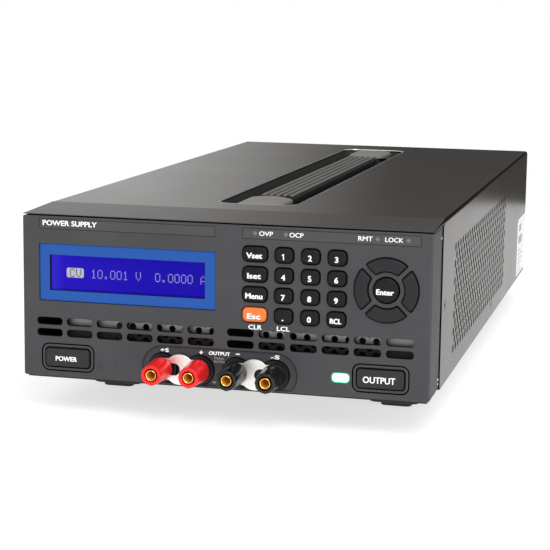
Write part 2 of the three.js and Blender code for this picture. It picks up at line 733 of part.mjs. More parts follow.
add("base_chassis", "steel", baseChassis());
add("top_cover", "paint", topCover());
add("rear_panel", "steel", rearPanel());
addFront();
addPosts();
addStrap();
for (const [end, front] of [["front", FOOT.front], ["rear", FOOT.rear]]) {
  add(`foot_${end}_left`, "rubber", foot(-1, front));
  add(`foot_${end}_right`, "rubber", foot(1, front));
}
add("fan_frame", "black", fanFrame());
add("fan_rotor", "black", fanRotor());
add("mains_inlet", "black", mainsInlet());
add("rear_terminals", "black", rearTerminals());
add("main_board", "board", mainBoard());
add("transformer", "copper", transformer());
add("heat_sink", "aluminium", heatSink());

// The origin is under the middle of the object's box, on the surface that the feet stand on.
const MIDDLE = (CASE.depth + TERMINAL_REACH - POST_REACH) / 2;
supply.position.set(0, -MIDDLE, FOOT_HEIGHT);
const bench = new THREE.Group();
bench.add(supply);

export default bench;
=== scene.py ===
"""Bench power supply: the visual model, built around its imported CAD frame.

Lengths are in millimetres in the instrument's own axes: x to the right from the middle, y to the
back from the front face, z up from the underside of the case. at() turns them into the frame.
"""
import math

import bmesh
import bpy
from mathutils import Matrix, Vector
from mathutils.geometry import delaunay_2d_cdt


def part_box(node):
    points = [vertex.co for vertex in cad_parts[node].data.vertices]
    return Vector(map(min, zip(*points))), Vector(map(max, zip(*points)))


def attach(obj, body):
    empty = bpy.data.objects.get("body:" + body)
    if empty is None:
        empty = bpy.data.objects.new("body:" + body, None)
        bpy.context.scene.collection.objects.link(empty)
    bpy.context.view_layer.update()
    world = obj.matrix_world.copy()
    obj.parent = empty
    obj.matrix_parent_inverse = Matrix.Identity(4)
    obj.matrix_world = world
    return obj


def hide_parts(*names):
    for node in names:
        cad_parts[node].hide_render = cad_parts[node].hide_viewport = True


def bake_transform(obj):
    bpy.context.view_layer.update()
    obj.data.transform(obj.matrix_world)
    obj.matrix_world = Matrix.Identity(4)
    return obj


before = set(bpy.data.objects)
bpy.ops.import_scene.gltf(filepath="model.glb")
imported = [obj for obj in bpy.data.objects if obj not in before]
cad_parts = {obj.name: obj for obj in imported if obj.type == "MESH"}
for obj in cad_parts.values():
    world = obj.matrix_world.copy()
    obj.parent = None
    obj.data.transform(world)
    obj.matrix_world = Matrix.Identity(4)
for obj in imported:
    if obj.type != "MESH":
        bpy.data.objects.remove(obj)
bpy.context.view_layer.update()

MM = 0.001
FRONT_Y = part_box("front_bezel")[0].y
UNDERSIDE_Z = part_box("base_chassis")[0].z


def at(x, y, z):
    """A point given in instrument millimetres, in the frame's metres."""
    return Vector((x * MM, FRONT_Y + y * MM, UNDERSIDE_Z + z * MM))


def node_box(node):
    """Lowest and highest corner of a CAD node, in instrument millimetres."""
    low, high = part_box(node)
    return [(p.x / MM, (p.y - FRONT_Y) / MM, (p.z - UNDERSIDE_Z) / MM) for p in (low, high)]


# ---- Camera -----------------------------------------------------------------------------------
VIEW_FROM = (0.231442, -1.01621, 0.218124)  # metres, solved from the case's edges in the photo
VIEW_TURN = (-0.248, 0.166, 0.013)  # yaw, pitch and roll in radians
LENS, SENSOR, NEAREST = 110.2, 36, 0.05


def make_camera():
    """The photograph's own viewpoint."""
    yaw, pitch, roll = VIEW_TURN
    forward = Vector((
        math.sin(yaw) * math.cos(pitch), math.cos(yaw) * math.cos(pitch), -math.sin(pitch),
    ))
    level = Vector((math.cos(yaw), -math.sin(yaw), 0))
    up = level.cross(forward)
    right = math.cos(roll) * level + math.sin(roll) * up
    top = math.cos(roll) * up - math.sin(roll) * level
    data = bpy.data.cameras.new("camera")
    data.lens = LENS
    data.sensor_width = SENSOR
    data.clip_start = NEAREST
    camera = bpy.data.objects.new("camera", data)
    place = Matrix((right, top, -forward)).transposed().to_4x4()
    place.translation = VIEW_FROM
    camera.matrix_world = place
    bpy.context.scene.collection.objects.link(camera)
    bpy.context.scene.camera = camera


make_camera()

# ---- Sizes, in millimetres --------------------------------------------------------------------
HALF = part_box("top_cover")[1].x / MM
TOP = node_box("top_cover")[1][2]
REAR = node_box("top_cover")[1][1]
SKIN = 0.06  # how far the cover's paint stays inside the frame's box, room for the label
SIDE_X = HALF - SKIN
CORNER = 2.0  # radius of the cover's long top edges
SHEET = 1.2  # thickness of the cover's sheet metal
PLATE = 2.6  # thickness of the bezel's front wall
BEZEL_DEPTH = 33
BROW = 39.5  # how far back the sloped brow runs

# Windows and strips are given as left, right, bottom, top; rows and columns by their middles.
WINDOW = (-98.3, -3.0, 41.1, 71.2)
STRIPS = {"name_strip": (-98, -3.5, 78.8, 84.2), "indicator_strip": (10.7, 101.3, 78.8, 84.2)}
KEY_ROWS = (71.5, 61.2, 50.95, 40.6)
KEY_COLUMNS = (
    (17.85, 13.0, ("vset", "iset", "menu", "esc")),
    (32.85, 9.7, ("1", "4", "7", "point")),
    (46.4, 9.7, ("2", "5", "8", "0")),
    (59.95, 9.7, ("3", "6", "9", "recall")),
)
KEY_HIGH = 7.3
KEY_NARROWER = 0.6  # the rubber cap is this much narrower than its solid, and sits lower left
KEY_DROP = 0.2
KEY_CORNER = 2.5
KEY_SLACK = 0.55  # gap between a key and its hole
KEY_FACE = -1.5
KEY_BACK = 8
KEY_FLANGE = 0.8  # how far a key's stop stands out behind the bezel
PAD_X, PAD_Z = 84.5, 56.5
PAD_ENTER, PAD_INNER, PAD_OUTER, PAD_SPLIT = 6.35, 9.55, 15.95, 3.3
SLOT_WIDE, SLOT_HIGH, SLOT_CORNER, SLOT_PITCH, SLOT_COUNT = 13.9, 3.9, 1.7, 16.36, 6
SLOT_ROWS = (30.5, 24.5)
SLOT_GROUPS = (-51.65, 51.05)
PUSH_X, PUSH_Z, PUSH_WIDE, PUSH_HIGH, PUSH_CORNER, PUSH_FACE = 82.6, 11.6, 23.7, 9.4, 1.6, -1.2
LAMP = (62.25, 10.9, 8.2, 4.0, 1.7)  # middle in x and z, width, height and corner radius
POST_Z = 9.8
POSTS = {"sense_plus": -31.0, "plus": -11.4, "minus": 8.3, "sense_minus": 28.2}
POCKET = (-1.05, 80.9, 11.0)  # middle, width and radius of the recess behind the posts
POCKET_SINK = 1.2
COLLAR = 7.7  # radius of the insulating collar round each post

# ---- Shapes -----------------------------------------------------------------------------------
QUARTER = math.pi / 2


class Shape:
    """Points and faces of one piece, in instrument millimetres, with a material index each."""

    def __init__(self):
        self.points = []
        self.faces = []
        self.looks = []

    def add(self, points, faces, look=0):
        base = len(self.points)
        self.points += [tuple(p) for p in points]
        self.faces += [[base + i for i in face] for face in faces]
        self.looks += [look] * len(faces)

    def loft(self, loops, look=0, start=False, end=False, closed=True):
        """Quads between loops of equal length; start and end close the first and last loop."""
        count = len(loops[0])
        points = [p for loop in loops for p in loop]
        faces = []
        for level in range(len(loops) - 1):
            low, high = level * count, (level + 1) * count
            for i in range(count if closed else count - 1):
                j = (i + 1) % count
                faces.append([low + i, low + j, high + j, high + i])
        if start:
            faces.append(list(range(count))[::-1])
        if end:
            faces.append(list(range(len(points) - count, len(points))))
        self.add(points, faces, look)

    def loft_shaded(self, loops, dark, closed=True):
        """A loft whose faces take the second material where dark(level, column) says so."""
        first = len(self.looks)
        self.loft(loops, closed=closed)
        columns = len(loops[0]) if closed else len(loops[0]) - 1
        for place in range(first, len(self.looks)):
            self.looks[place] = int(dark(*divmod(place - first, columns)))

    def fan(self, loop, tip, look=0):
        """Triangles from a loop to one point."""
        count = len(loop)
        faces = [[i, (i + 1) % count, count] for i in range(count)]
        self.add([*loop, tip], faces, look)

    def fill(self, outer, holes, place, look=0):
        """Flat sheet between an outline and its holes; place turns (a, b) into a point."""
        flat = []
        bounds = []
        for ring in [outer, *holes]:
            bounds.append([len(flat) + i for i in range(len(ring))])
            flat += [Vector(p) for p in ring]
        inside_without_holes = 2
        made = delaunay_2d_cdt(flat, [], bounds, inside_without_holes, 1e-4)
        self.add([place(*p) for p in made[0]], [list(face) for face in made[2]], look)

    def turned(self, profile, x, z, sides=32, look=0):
        """A profile of (radius, y) turned about the line along Y through (x, z)."""
        loops = []
        for radius, y in profile:
            radius = max(radius, 1e-4)
            loops.append([
                (x + radius * math.cos(t), y, z + radius * math.sin(t)) for t in turns(sides)
            ])
        self.loft(loops, look)


def turns(count):
    """Angles of equal steps round a circle."""
    return [2 * math.pi * i / count for i in range(count)]


def rounded(x, z, wide, high, radius, steps=5):
    """Outline of a rounded rectangle about (x, z), counter-clockwise."""
    points = []
    centres = ((1, 1), (-1, 1), (-1, -1), (1, -1))
    for corner, (side, level) in enumerate(centres):
        cx = x + side * (wide / 2 - radius)
        cz = z + level * (high / 2 - radius)
        for i in range(steps + 1):
            turn = (corner + i / steps) * QUARTER
            points.append((cx + radius * math.cos(turn), cz + radius * math.sin(turn)))
    return points


def frame_outline(x0, x1, z0, z1, radius, steps=4):
    """A rounded rectangle given by its sides."""
    return rounded((x0 + x1) / 2, (z0 + z1) / 2, x1 - x0, z1 - z0, radius, steps)


def circle(x, z, radius, sides=24):
    """A round outline about (x, z), counter-clockwise."""
    return [(x + radius * math.cos(t), z + radius * math.sin(t)) for t in turns(sides)]


def grown(outline, by):
    """An outline moved outwards, or inwards where by is negative."""
    if abs(by) < 1e-9:
        return list(outline)
    moved = []
    count = len(outline)
    for i, (a, b) in enumerate(outline):
        before = Vector(outline[i - 1])
        after = Vector(outline[(i + 1) % count])
        here = Vector((a, b))
        first = (here - before).normalized()
        second = (after - here).normalized()
        normal = Vector((first.y + second.y, -(first.x + second.x)))
        spread = max(1 + first.dot(second), 0.2)
        moved.append(tuple(here + normal * (by / spread)))
    return moved


def rounded_corners(outline, corners, radius, steps=4):
    """The outline with the corners at these indices rounded off."""
    made = []
    for i, point in enumerate(outline):
        if i not in corners:
            made.append(point)
            continue
        here = Vector(point)
        before = here + (Vector(outline[i - 1]) - here).normalized() * radius
        after = here + (Vector(outline[(i + 1) % len(outline)]) - here).normalized() * radius
        for k in range(steps + 1):
            t = k / steps
            made.append(tuple(before * (1 - t) ** 2 + here * 2 * t * (1 - t) + after * t * t))
    return made


def arrow_outline(quarter, slack=0.0, radius=0.9):
    """One key of the ring: a sector between two arcs, trimmed by parallel diagonal gaps."""
    inner, outer, split = PAD_INNER - slack, PAD_OUTER + slack, PAD_SPLIT / 2 - slack
    steps = 10
    points = []
    for arc, sign in ((outer, 1), (inner, -1)):
        reach = QUARTER / 2 - math.asin(split / arc)
        for i in range(steps + 1):
            turn = quarter * QUARTER + sign * reach * (2 * i / steps - 1)
            points.append((PAD_X + arc * math.cos(turn), PAD_Z + arc * math.sin(turn)))
    return rounded_corners(points, (0, steps, steps + 1, 2 * steps + 1), radius)


def front_facing(y):
    """Places an outline's (x, z) on the plane at this depth."""
    return lambda x, z: (x, y, z)


def side_facing(x):
    """Places an outline's (y, z) on the upright plane along Y at this x."""
    return lambda y, z: (x, y, z)


def top_facing(z):
    """Places an outline's (x, y) on the level plane at this height."""
    return lambda x, y: (x, y, z)


def level_at(y):
    """A flat surface at this depth, for lettering."""
    return lambda _x, _z: y


def quarter_turns(steps):
    """Angles from 0 to a quarter turn."""
    return [i / steps * QUARTER for i in range(steps + 1)]


def placed(outline, place, *levels):
    """The outline on each of several planes, as loops to loft: place is one of the facings."""
    return [[place(level)(a, b) for a, b in outline] for level in levels]


def plan_rings(outline, profile):
    """Loops of an outline in x and y, grown and raised as each (growth, z) says."""
    return [[(x, y, z) for x, y in grown(outline, growth)] for growth, z in profile]


def rings(outline, profile):
    """Loops of an outline, grown and set back as each (growth, y) of the profile says."""
    return [[(a, y, b) for a, b in grown(outline, growth)] for growth, y in profile]


def fillet(radius, y=0.0, steps=4):
    """Profile of a rounded rim that turns from a front face at y into a hole's wall."""
    return [
        (radius * (1 - math.sin(turn)), y + radius * (1 - math.cos(turn)))
        for turn in quarter_turns(steps)
    ]


def finish_mesh(name, mesh, materials, sharp):
    """Welds and smooths a mesh, with edges over sharp degrees kept crisp."""
    cleaned = bmesh.new()
    cleaned.from_mesh(mesh)
    bmesh.ops.remove_doubles(cleaned, verts=cleaned.verts, dist=2e-6)
    bmesh.ops.dissolve_degenerate(cleaned, edges=cleaned.edges, dist=1e-6)
    bmesh.ops.recalc_face_normals(cleaned, faces=cleaned.faces)
    cleaned.to_mesh(mesh)
    cleaned.free()
    for used in materials:
        mesh.materials.append(used)
    mesh.shade_smooth()
    mesh.set_sharp_from_angle(angle=math.radians(sharp))
    made = bpy.data.objects.new(name, mesh)
    bpy.context.scene.collection.objects.link(made)
    weighted = made.modifiers.new("weighted_normals", "WEIGHTED_NORMAL")
    weighted.keep_sharp = True
    weighted.weight = 80
    return made


def piece(name, shape, body, slot, *materials, sharp=38, replaced=()):
    """Makes an object of a shape and sets it on its body; slot is not used."""
    mesh = bpy.data.meshes.new(name)
    mesh.from_pydata([at(*p) for p in shape.points], [], shape.faces)
    mesh.polygons.foreach_set("material_index", shape.looks)
    made = finish_mesh(name, mesh, materials, sharp)
    if replaced:
        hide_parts(*replaced)
    if body:
        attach(made, body)
    return made


# ---- Lettering --------------------------------------------------------------------------------
def lettering(shape, text, x, z, high, wide=None, face=None, raised=0.1, bold=0.1, look=0):
    """Adds generic letters to a shape, centred on (x, z), on the front surface y = face(x, z).

    Bold letters are printed three times, bold millimetres apart, each a little lower.
    """
    face = face or level_at(0.0)
    if text == "1":
        shape.add(*raised_outline(x, z, high, face, raised), look)
        return
    curve = bpy.data.curves.new("letters", "FONT")
    curve.body = text
    curve.extrude = 0.5
    curve.resolution_u = 3
    holder = bpy.data.objects.new("letters", curve)
    bpy.context.scene.collection.objects.link(holder)
    bpy.context.view_layer.update()
    mesh = bpy.data.meshes.new_from_object(holder)
    points = [v.co.copy() for v in mesh.vertices]
    faces = [list(p.vertices) for p in mesh.polygons]
    bpy.data.objects.remove(holder)
    bpy.data.curves.remove(curve)
    bpy.data.meshes.remove(mesh)
    left, right = min(p.x for p in points), max(p.x for p in points)
    low, top = min(p.y for p in points), max(p.y for p in points)
    tall = (high - bold) / (top - low)
    broad = (wide - 2 * bold) / (right - left) if wide else tall
    prints = ((-1, -0.5), (1, -0.5), (0, 0.5)) if bold else ((0, 0),)
    for order, (aside, above) in enumerate(prints):
        spots = []
        for p in points:
            a = x + (p.x - (left + right) / 2) * broad + aside * bold
            b = z + (p.y - (low + top) / 2) * tall + above * bold
            depth = 0.012 * order - raised if p.z > 0 else 0.25
            spots.append((a, face(a, b) + depth, b))
        shape.add(spots, faces, look)


# The figure one as points, as shares of its height.
ONE = ((0.11, 0), (0.11, 1), (-0.03, 1), (-0.24, 0.83), (-0.24, 0.66), (-0.07, 0.76), (-0.07, 0))


def raised_outline(x, z, high, face, raised):
    """The figure one, with a flag, as a raised print."""
    count = len(ONE)
    points = []
    for depth in (-raised, 0.25):
        for a, b in ONE:
            px, pz = x + a * high, z + (b - 0.5) * high
            points.append((px, face(px, pz) + depth, pz))
    faces = [[0, 1, 2, 5, 6], [2, 3, 4, 5]]
    faces += [[i, (i + 1) % count, (i + 1) % count + count, i + count] for i in range(count)]
    return points, faces


def bar(shape, x0, x1, z0, z1, y=0.0, raised=0.05, look=0):
    """A small printed bar or dot on a front surface."""
    shape.loft(
        [[(x0, d, z0), (x1, d, z0), (x1, d, z1), (x0, d, z1)] for d in (y - raised, y + 0.2)],
        look, start=True, end=True,
    )


# ---- Materials --------------------------------------------------------------------------------
class Look:
    """A node material: a shader with mottled colour, varied roughness and a fine surface grain."""

    def __init__(self, name, colour, rough, metal=0.0):
        self.material = bpy.data.materials.new(name)
        self.material.use_nodes = True
        self.tree = self.material.node_tree
        self.shader = self.tree.nodes["Principled BSDF"]
        self.colour = colour
        self.rough = rough
        self.put("Base Color", (*colour, 1))
        self.put("Roughness", rough)
        self.put("Metallic", metal)
        self.where = self.node("ShaderNodeTexCoord").outputs["Object"]
        self.normal = None

    def put(self, socket, value):
        self.shader.inputs[socket].default_value = value
        return self

    def node(self, kind, **inputs):
        made = self.tree.nodes.new(kind)
        for socket, value in inputs.items():
            self.feed(made.inputs[socket], value)
        return made

    def feed(self, socket, value):
        if isinstance(value, bpy.types.NodeSocket):
            self.tree.links.new(value, socket)
        else:
            socket.default_value = value

    def noise(self, size, detail=2.0, stretch=(1, 1, 1)):
        """Noise whose features are about this many millimetres across."""
        scaled = self.node("ShaderNodeVectorMath", Vector=self.where)
        scaled.operation = "MULTIPLY"
        scaled.inputs[1].default_value = [1 / (size * MM * s) for s in stretch]
        made = self.node(
            "ShaderNodeTexNoise", Vector=scaled.outputs[0], Scale=1.0, Detail=detail,
        )
        return made.outputs["Fac"]

    def ramp(self, factor, *stops):
        made = self.node("ShaderNodeValToRGB", Fac=factor)
        made.color_ramp.elements[0].position = stops[0][0]
        made.color_ramp.elements[0].color = (*stops[0][1], 1)
        made.color_ramp.elements[1].position = stops[-1][0]
        made.color_ramp.elements[1].color = (*stops[-1][1], 1)
        for position, colour in stops[1:-1]:
            made.color_ramp.elements.new(position).color = (*colour, 1)
        return made.outputs["Color"]

    def mottle(self, size=22.0, amount=0.12, detail=3.0):
        """Slow variation of the colour over the surface."""
        low = tuple(c * (1 - amount) for c in self.colour)
        high = tuple(min(1, c * (1 + amount)) for c in self.colour)
        self.feed(
            self.shader.inputs["Base Color"],
            self.ramp(self.noise(size, detail), (0.3, low), (0.7, high)),
        )
        return self

    def smudge(self, size=14.0, amount=0.06, stretch=(1, 1, 1)):
        """Slow variation of the roughness, as handling and wiping leave it."""
        low, high = max(0.02, self.rough - amount), min(1, self.rough + amount)
        spread = self.node("ShaderNodeMapRange", Value=self.noise(size, 4, stretch))
        spread.inputs["To Min"].default_value = low
        spread.inputs["To Max"].default_value = high
        self.feed(self.shader.inputs["Roughness"], spread.outputs[0])
        return self

    def grain(self, size, height, detail=2.0, stretch=(1, 1, 1)):
        """Fine relief of this feature size and height, both in millimetres."""
        bump = self.node("ShaderNodeBump", Height=self.noise(size, detail, stretch))
        bump.inputs["Strength"].default_value = 1.0
        bump.inputs["Distance"].default_value = height * MM
        if self.normal:
            self.feed(bump.inputs["Normal"], self.normal)
        self.normal = bump.outputs[0]
        self.feed(self.shader.inputs["Normal"], self.normal)
        return self

    def glow(self, colour, strength):
        self.put("Emission Color", (*colour, 1))
        self.put("Emission Strength", strength)
        return self


def plastic(name, colour, rough=0.45, grain=0.35, height=0.012, amount=0.08, spec=0.5):
    """A moulded surface; grain and height are its texture's size and depth in millimetres."""
    made = Look(name, colour, rough).mottle(amount=amount).smudge()
    made.put("Specular IOR Level", spec)
    return made.grain(grain, height).material


def metal(name, colour, rough=0.3, stretch=(1, 1, 1), size=0.6, height=0.006):
    """Bare or plated metal; stretch draws its marks out along an axis, as brushing does."""
    made = Look(name, colour, rough, 1.0).mottle(9, 0.06).smudge(5, 0.07, stretch)
    return made.grain(size, height, 3, stretch).material


def lcd_material():
    """Backlit panel: violet blue, brighter towards the lamp at its left end."""
    made = Look("lcd_glass", (0.004, 0.002, 0.06), 0.2)
    split = made.node("ShaderNodeSeparateXYZ", Vector=made.where)
    low, high = node_box("lcd_panel")
    along = made.node("ShaderNodeMapRange", Value=split.outputs["X"])
    along.inputs["From Min"].default_value = low[0] * MM
    along.inputs["From Max"].default_value = high[0] * MM
    made.feed(made.shader.inputs["Emission Color"], made.ramp(
        along.outputs[0],
        (0.0, (0.07, 0.05, 0.85)), (0.03, (0.035, 0.018, 0.62)), (0.1, (0.014, 0.004, 0.48)),
        (0.6, (0.007, 0.001, 0.40)), (1.0, (0.007, 0.001, 0.36)),
    ))
    made.put("Emission Strength", 0.9)
    made.put("Specular IOR Level", 0.05)
    made.smudge(6, 0.03)
    return made.material


BEZEL = plastic("bezel_plastic", (0.05, 0.05, 0.054), 0.6, 0.3, 0.012, spec=0.3)
STRIP = plastic("strip_film", (0.05, 0.05, 0.050), 0.4, 0.2, 0.004, spec=0.4)
KEY = plastic("key_rubber", (0.006, 0.006, 0.007), 0.5, 0.25, 0.006, spec=0.2)
ARROW = plastic("arrow_rubber", (0.014, 0.014, 0.016), 0.5, 0.3, 0.01, spec=0.25)
ORANGE = plastic("key_orange_rubber", (0.72, 0.16, 0.025), 0.38, 0.25, 0.005)
BUTTON = plastic("button_plastic", (0.022, 0.022, 0.024), 0.45, 0.25, 0.008, spec=0.25)
# White print given a faint glow: painted light, as the print is no lamp.
GLOWING_INK = Look("white_ink_painted_glow", (0.86, 0.86, 0.86), 0.5).mottle(1.5, 0.05).glow((1, 1, 1), 0.12).material
GREY_INK = Look("grey_ink", (0.36, 0.36, 0.36), 0.5).mottle(1.5, 0.05).material
FRAME_BLUE = (
    Look("lit_frame", (0.006, 0.025, 0.11), 0.45).mottle(30, 0.06).put("Specular IOR Level", 0.2)
    .glow((0.016, 0.12, 0.50), 0.58).material
)
WELL = plastic("display_well", (0.004, 0.004, 0.012), 0.5, 0.3, 0.004)
LCD = lcd_material()
LCD_DOT = Look("lcd_dot", (0.15, 0.15, 0.28), 0.4).mottle(0.8, 0.1).glow((0.24, 0.20, 0.55), 0.5).material
LCD_BOX = Look("lcd_box", (0.2, 0.2, 0.22), 0.4).mottle(0.8, 0.1).glow((0.42, 0.42, 0.48), 0.55).material
LAMP_CORE = Look("lamp_core", (0.7, 1, 0.9), 0.3).mottle(2, 0.05).glow((0.62, 1.0, 0.84), 2.6).material
LAMP_EDGE = Look("lamp_edge", (0.01, 0.3, 0.16), 0.35).mottle(2, 0.1).glow((0.0, 0.26, 0.15), 0.7).material
LED = Look("led_lens", (0.13, 0.135, 0.14), 0.35).mottle(0.6, 0.15).material
RED = plastic("post_red", (0.78, 0.012, 0.014), 0.26, 0.8, 0.004, spec=0.4)
BLACK = plastic("post_black", (0.004, 0.004, 0.0045), 0.2, 0.8, 0.004, spec=0.4)
COLLAR_BLACK = plastic("collar_black", (0.0035, 0.0035, 0.004), 0.35, 0.6, 0.006, spec=0.3)
DARK = plastic("dark_plastic", (0.016, 0.016, 0.017), 0.45, 0.4, 0.01)
GOLD = metal("gold_plate", (0.95, 0.60, 0.16), 0.22)
SOCKET = Look("socket_gold", (0.98, 0.58, 0.10), 0.3, 0.35).mottle(2, 0.08).smudge(3, 0.08).material
NICKEL = metal("nickel_plate", (0.86, 0.83, 0.80), 0.34, (1, 1, 8))
SCREW = metal("screw_steel", (0.16, 0.16, 0.165), 0.4)
STEEL = metal("chassis_steel", (0.24, 0.245, 0.25), 0.5, (1, 14, 1), 0.5)
PAINT = (
    Look("case_paint", (0.046, 0.041, 0.036), 0.2).mottle(60, 0.06).smudge(40, 0.02)
    .put("Specular IOR Level", 0.055).grain(0.5, 0.0025, 3).material
)
# Painted shade: near-black paint laid on faces that stand in shadow, under the brow, on gaps, grooves and
# slot walls.
PAINTED_SHADE = plastic("painted_shade", (0.004, 0.004, 0.004), 0.8, 0.5, 0.01, spec=0.05)
RIM = metal("rim_steel", (0.72, 0.72, 0.71), 0.25)
TRAY = plastic("tray_plastic", (0.045, 0.043, 0.04), 0.5, 0.5, 0.015)
STRAP = plastic("strap_vinyl", (0.105, 0.10, 0.092), 0.4, 0.5, 0.02)
# Painted shadow for the strap's grooves and lower sides.
STRAP_SHADOW = plastic("strap_painted_shadow", (0.012, 0.012, 0.011), 0.6, 0.5, 0.02, spec=0.15)
STRAP_END = plastic("strap_end_plastic", (0.16, 0.153, 0.14), 0.45, 0.5, 0.014)
RUBBER = plastic("foot_rubber", (0.01, 0.01, 0.01), 0.6, 0.6, 0.03)
# Painted shade: a dark sheet standing in for the shadow over the punched wall's lower band and the parts
# behind it.
LOWER_BAND_SHADE = plastic("lower_band_painted_shade", (0.02, 0.02, 0.02), 0.6, 1.0, 0.01, spec=0.15)
PAPER = Look("label_paper", (0.82, 0.82, 0.82), 0.55).mottle(8, 0.03).grain(0.2, 0.003).material
BOARD = Look("circuit_board", (0.02, 0.10, 0.045), 0.4).mottle(2.5, 0.35, 6).grain(1.2, 0.05).material
COIL = Look("winding", (0.30, 0.12, 0.04), 0.35).mottle(0.6, 0.4).grain(0.5, 0.08, 1, (40, 1, 1)).material
ALUMINIUM = metal("aluminium", (0.66, 0.67, 0.68), 0.38, (1, 20, 1))


# ---- Front bezel ------------------------------------------------------------------------------
SIDE_TURN = 1.3  # radius of the bezel's upright front edges
TOP_TURN = 0.4
FACE_LOW, FACE_HIGH = 1.65, 85.1
SHADOW_GAP = 0.55  # between the bezel and the brow that hangs over it
LIP_Y = 0.45
TAPER = 0.75  # how far the side walls lean in towards the back
STEP_DEPTH = 12.7  # the lower wall is shorter than the others


def bezel_section(inset, low, high, radius):
    """Outline of the bezel's outer or inner wall in x and z."""
    return frame_outline(-HALF + inset, HALF - inset, low, high, radius)


def bezel_shell(shape):
    """Outer skin, back edge and inner wall, from the face's outline round to its back; the upper walls
    under the brow are painted as shade.
    """
    base = bezel_section(SIDE_TURN, FACE_LOW, FACE_HIGH, 0.5)
    directions = rounded(0, 0, 2, 2, 1, 4)
    loops = [[(x, 0, z) for x, z in base]]
    steps = 5
    for turn in quarter_turns(steps)[1:]:
        loop = []
        for (x, z), (nx, nz) in zip(base, directions):
            reach = nx * nx * SIDE_TURN + nz * nz * TOP_TURN
            loop.append((
                x + nx * SIDE_TURN * math.sin(turn),
                reach * (1 - math.cos(turn)),
                z + nz * TOP_TURN * math.sin(turn),
            ))
        loops.append(loop)
    edge = loops[-1]
    depth = [BEZEL_DEPTH if nz > -0.2 else STEP_DEPTH for _, nz in directions]
    for share, narrow in ((0.55, 0), (0.985, 1), (1.0, 1.3)):
        loops.append([
            (x - TAPER * narrow * nx, max(y, d * share), z - 0.4 * min(nz, 0))
            for (x, y, z), (nx, nz), d in zip(edge, directions, depth)
        ])
    inner = bezel_section(2.35, 3.6, FACE_HIGH - 2.0, 0.8)
    loops.append([(x, d, z) for (x, z), d in zip(inner, depth)])
    loops.append([(x, PLATE, z) for x, z in inner])

    # The upper walls behind the front rounding lie under the brow and take painted shade.
    def painted_shade_under_brow(level, column):
        upward = [directions[c % len(base)][1] > 0.9 for c in (column, column + 1)]
        return level >= steps and all(upward)

    shape.loft_shaded(loops, painted_shade_under_brow)
    return base, inner


def brow_sheet():
    """The cover's sloped front edge, which hangs over the bezel with a gap under it; its rounded side
    edges are painted dark as shade.
    """
    underside = FACE_HIGH + TOP_TURN + SHADOW_GAP
    shape = Shape()
    loops = []
    lip, crest = underside + 0.35, TOP
    for y in (LIP_Y, LIP_Y + 0.1, LIP_Y + 0.35, 4, 12, 20, 28, 34, BROW):
        share = (y - LIP_Y) / (BROW - LIP_Y)
        top = lip + (crest - lip) * share
        tuck = {LIP_Y: 0.14, LIP_Y + 0.1: 0.04}.get(y, 0)
        half = SIDE_X - tuck
        turn = min(CORNER, (top - underside) * 0.75)
        loop = [(half, y, underside + tuck), (half, y, top - turn)]
        for angle in quarter_turns(6)[1:]:
            x = half - turn * (1 - math.cos(angle))
            loop.append((x, y, top - turn + (turn - tuck) * math.sin(angle)))
        loops.append(loop + [(-x, a, z) for x, a, z in reversed(loop)])
    count = len(loops[0])
    # The lower columns of each rounded side edge take painted shade.
    shape.loft_shaded(loops, lambda _, column: min(column, count - 2 - column) in (1, 2, 3, 4))
    for loop in (loops[0], loops[-1]):
        shape.add(loop, [list(range(count))])
    piece("brow", shape, "case", "paint", PAINT, PAINTED_SHADE, sharp=30)


def slot_centres():
    """Middles of the vent slots: two groups of two rows."""
    half = (SLOT_COUNT - 1) / 2
    return [
        (middle + (i - half) * SLOT_PITCH, z)
        for middle in SLOT_GROUPS for z in SLOT_ROWS for i in range(SLOT_COUNT)
    ]


def key_centres():
    """Name, middle and width of each keypad key's rubber cap."""
    return [
        (name, x - KEY_NARROWER / 2, z - KEY_DROP, wide - KEY_NARROWER)
        for x, wide, names in KEY_COLUMNS for name, z in zip(names, KEY_ROWS)
    ]


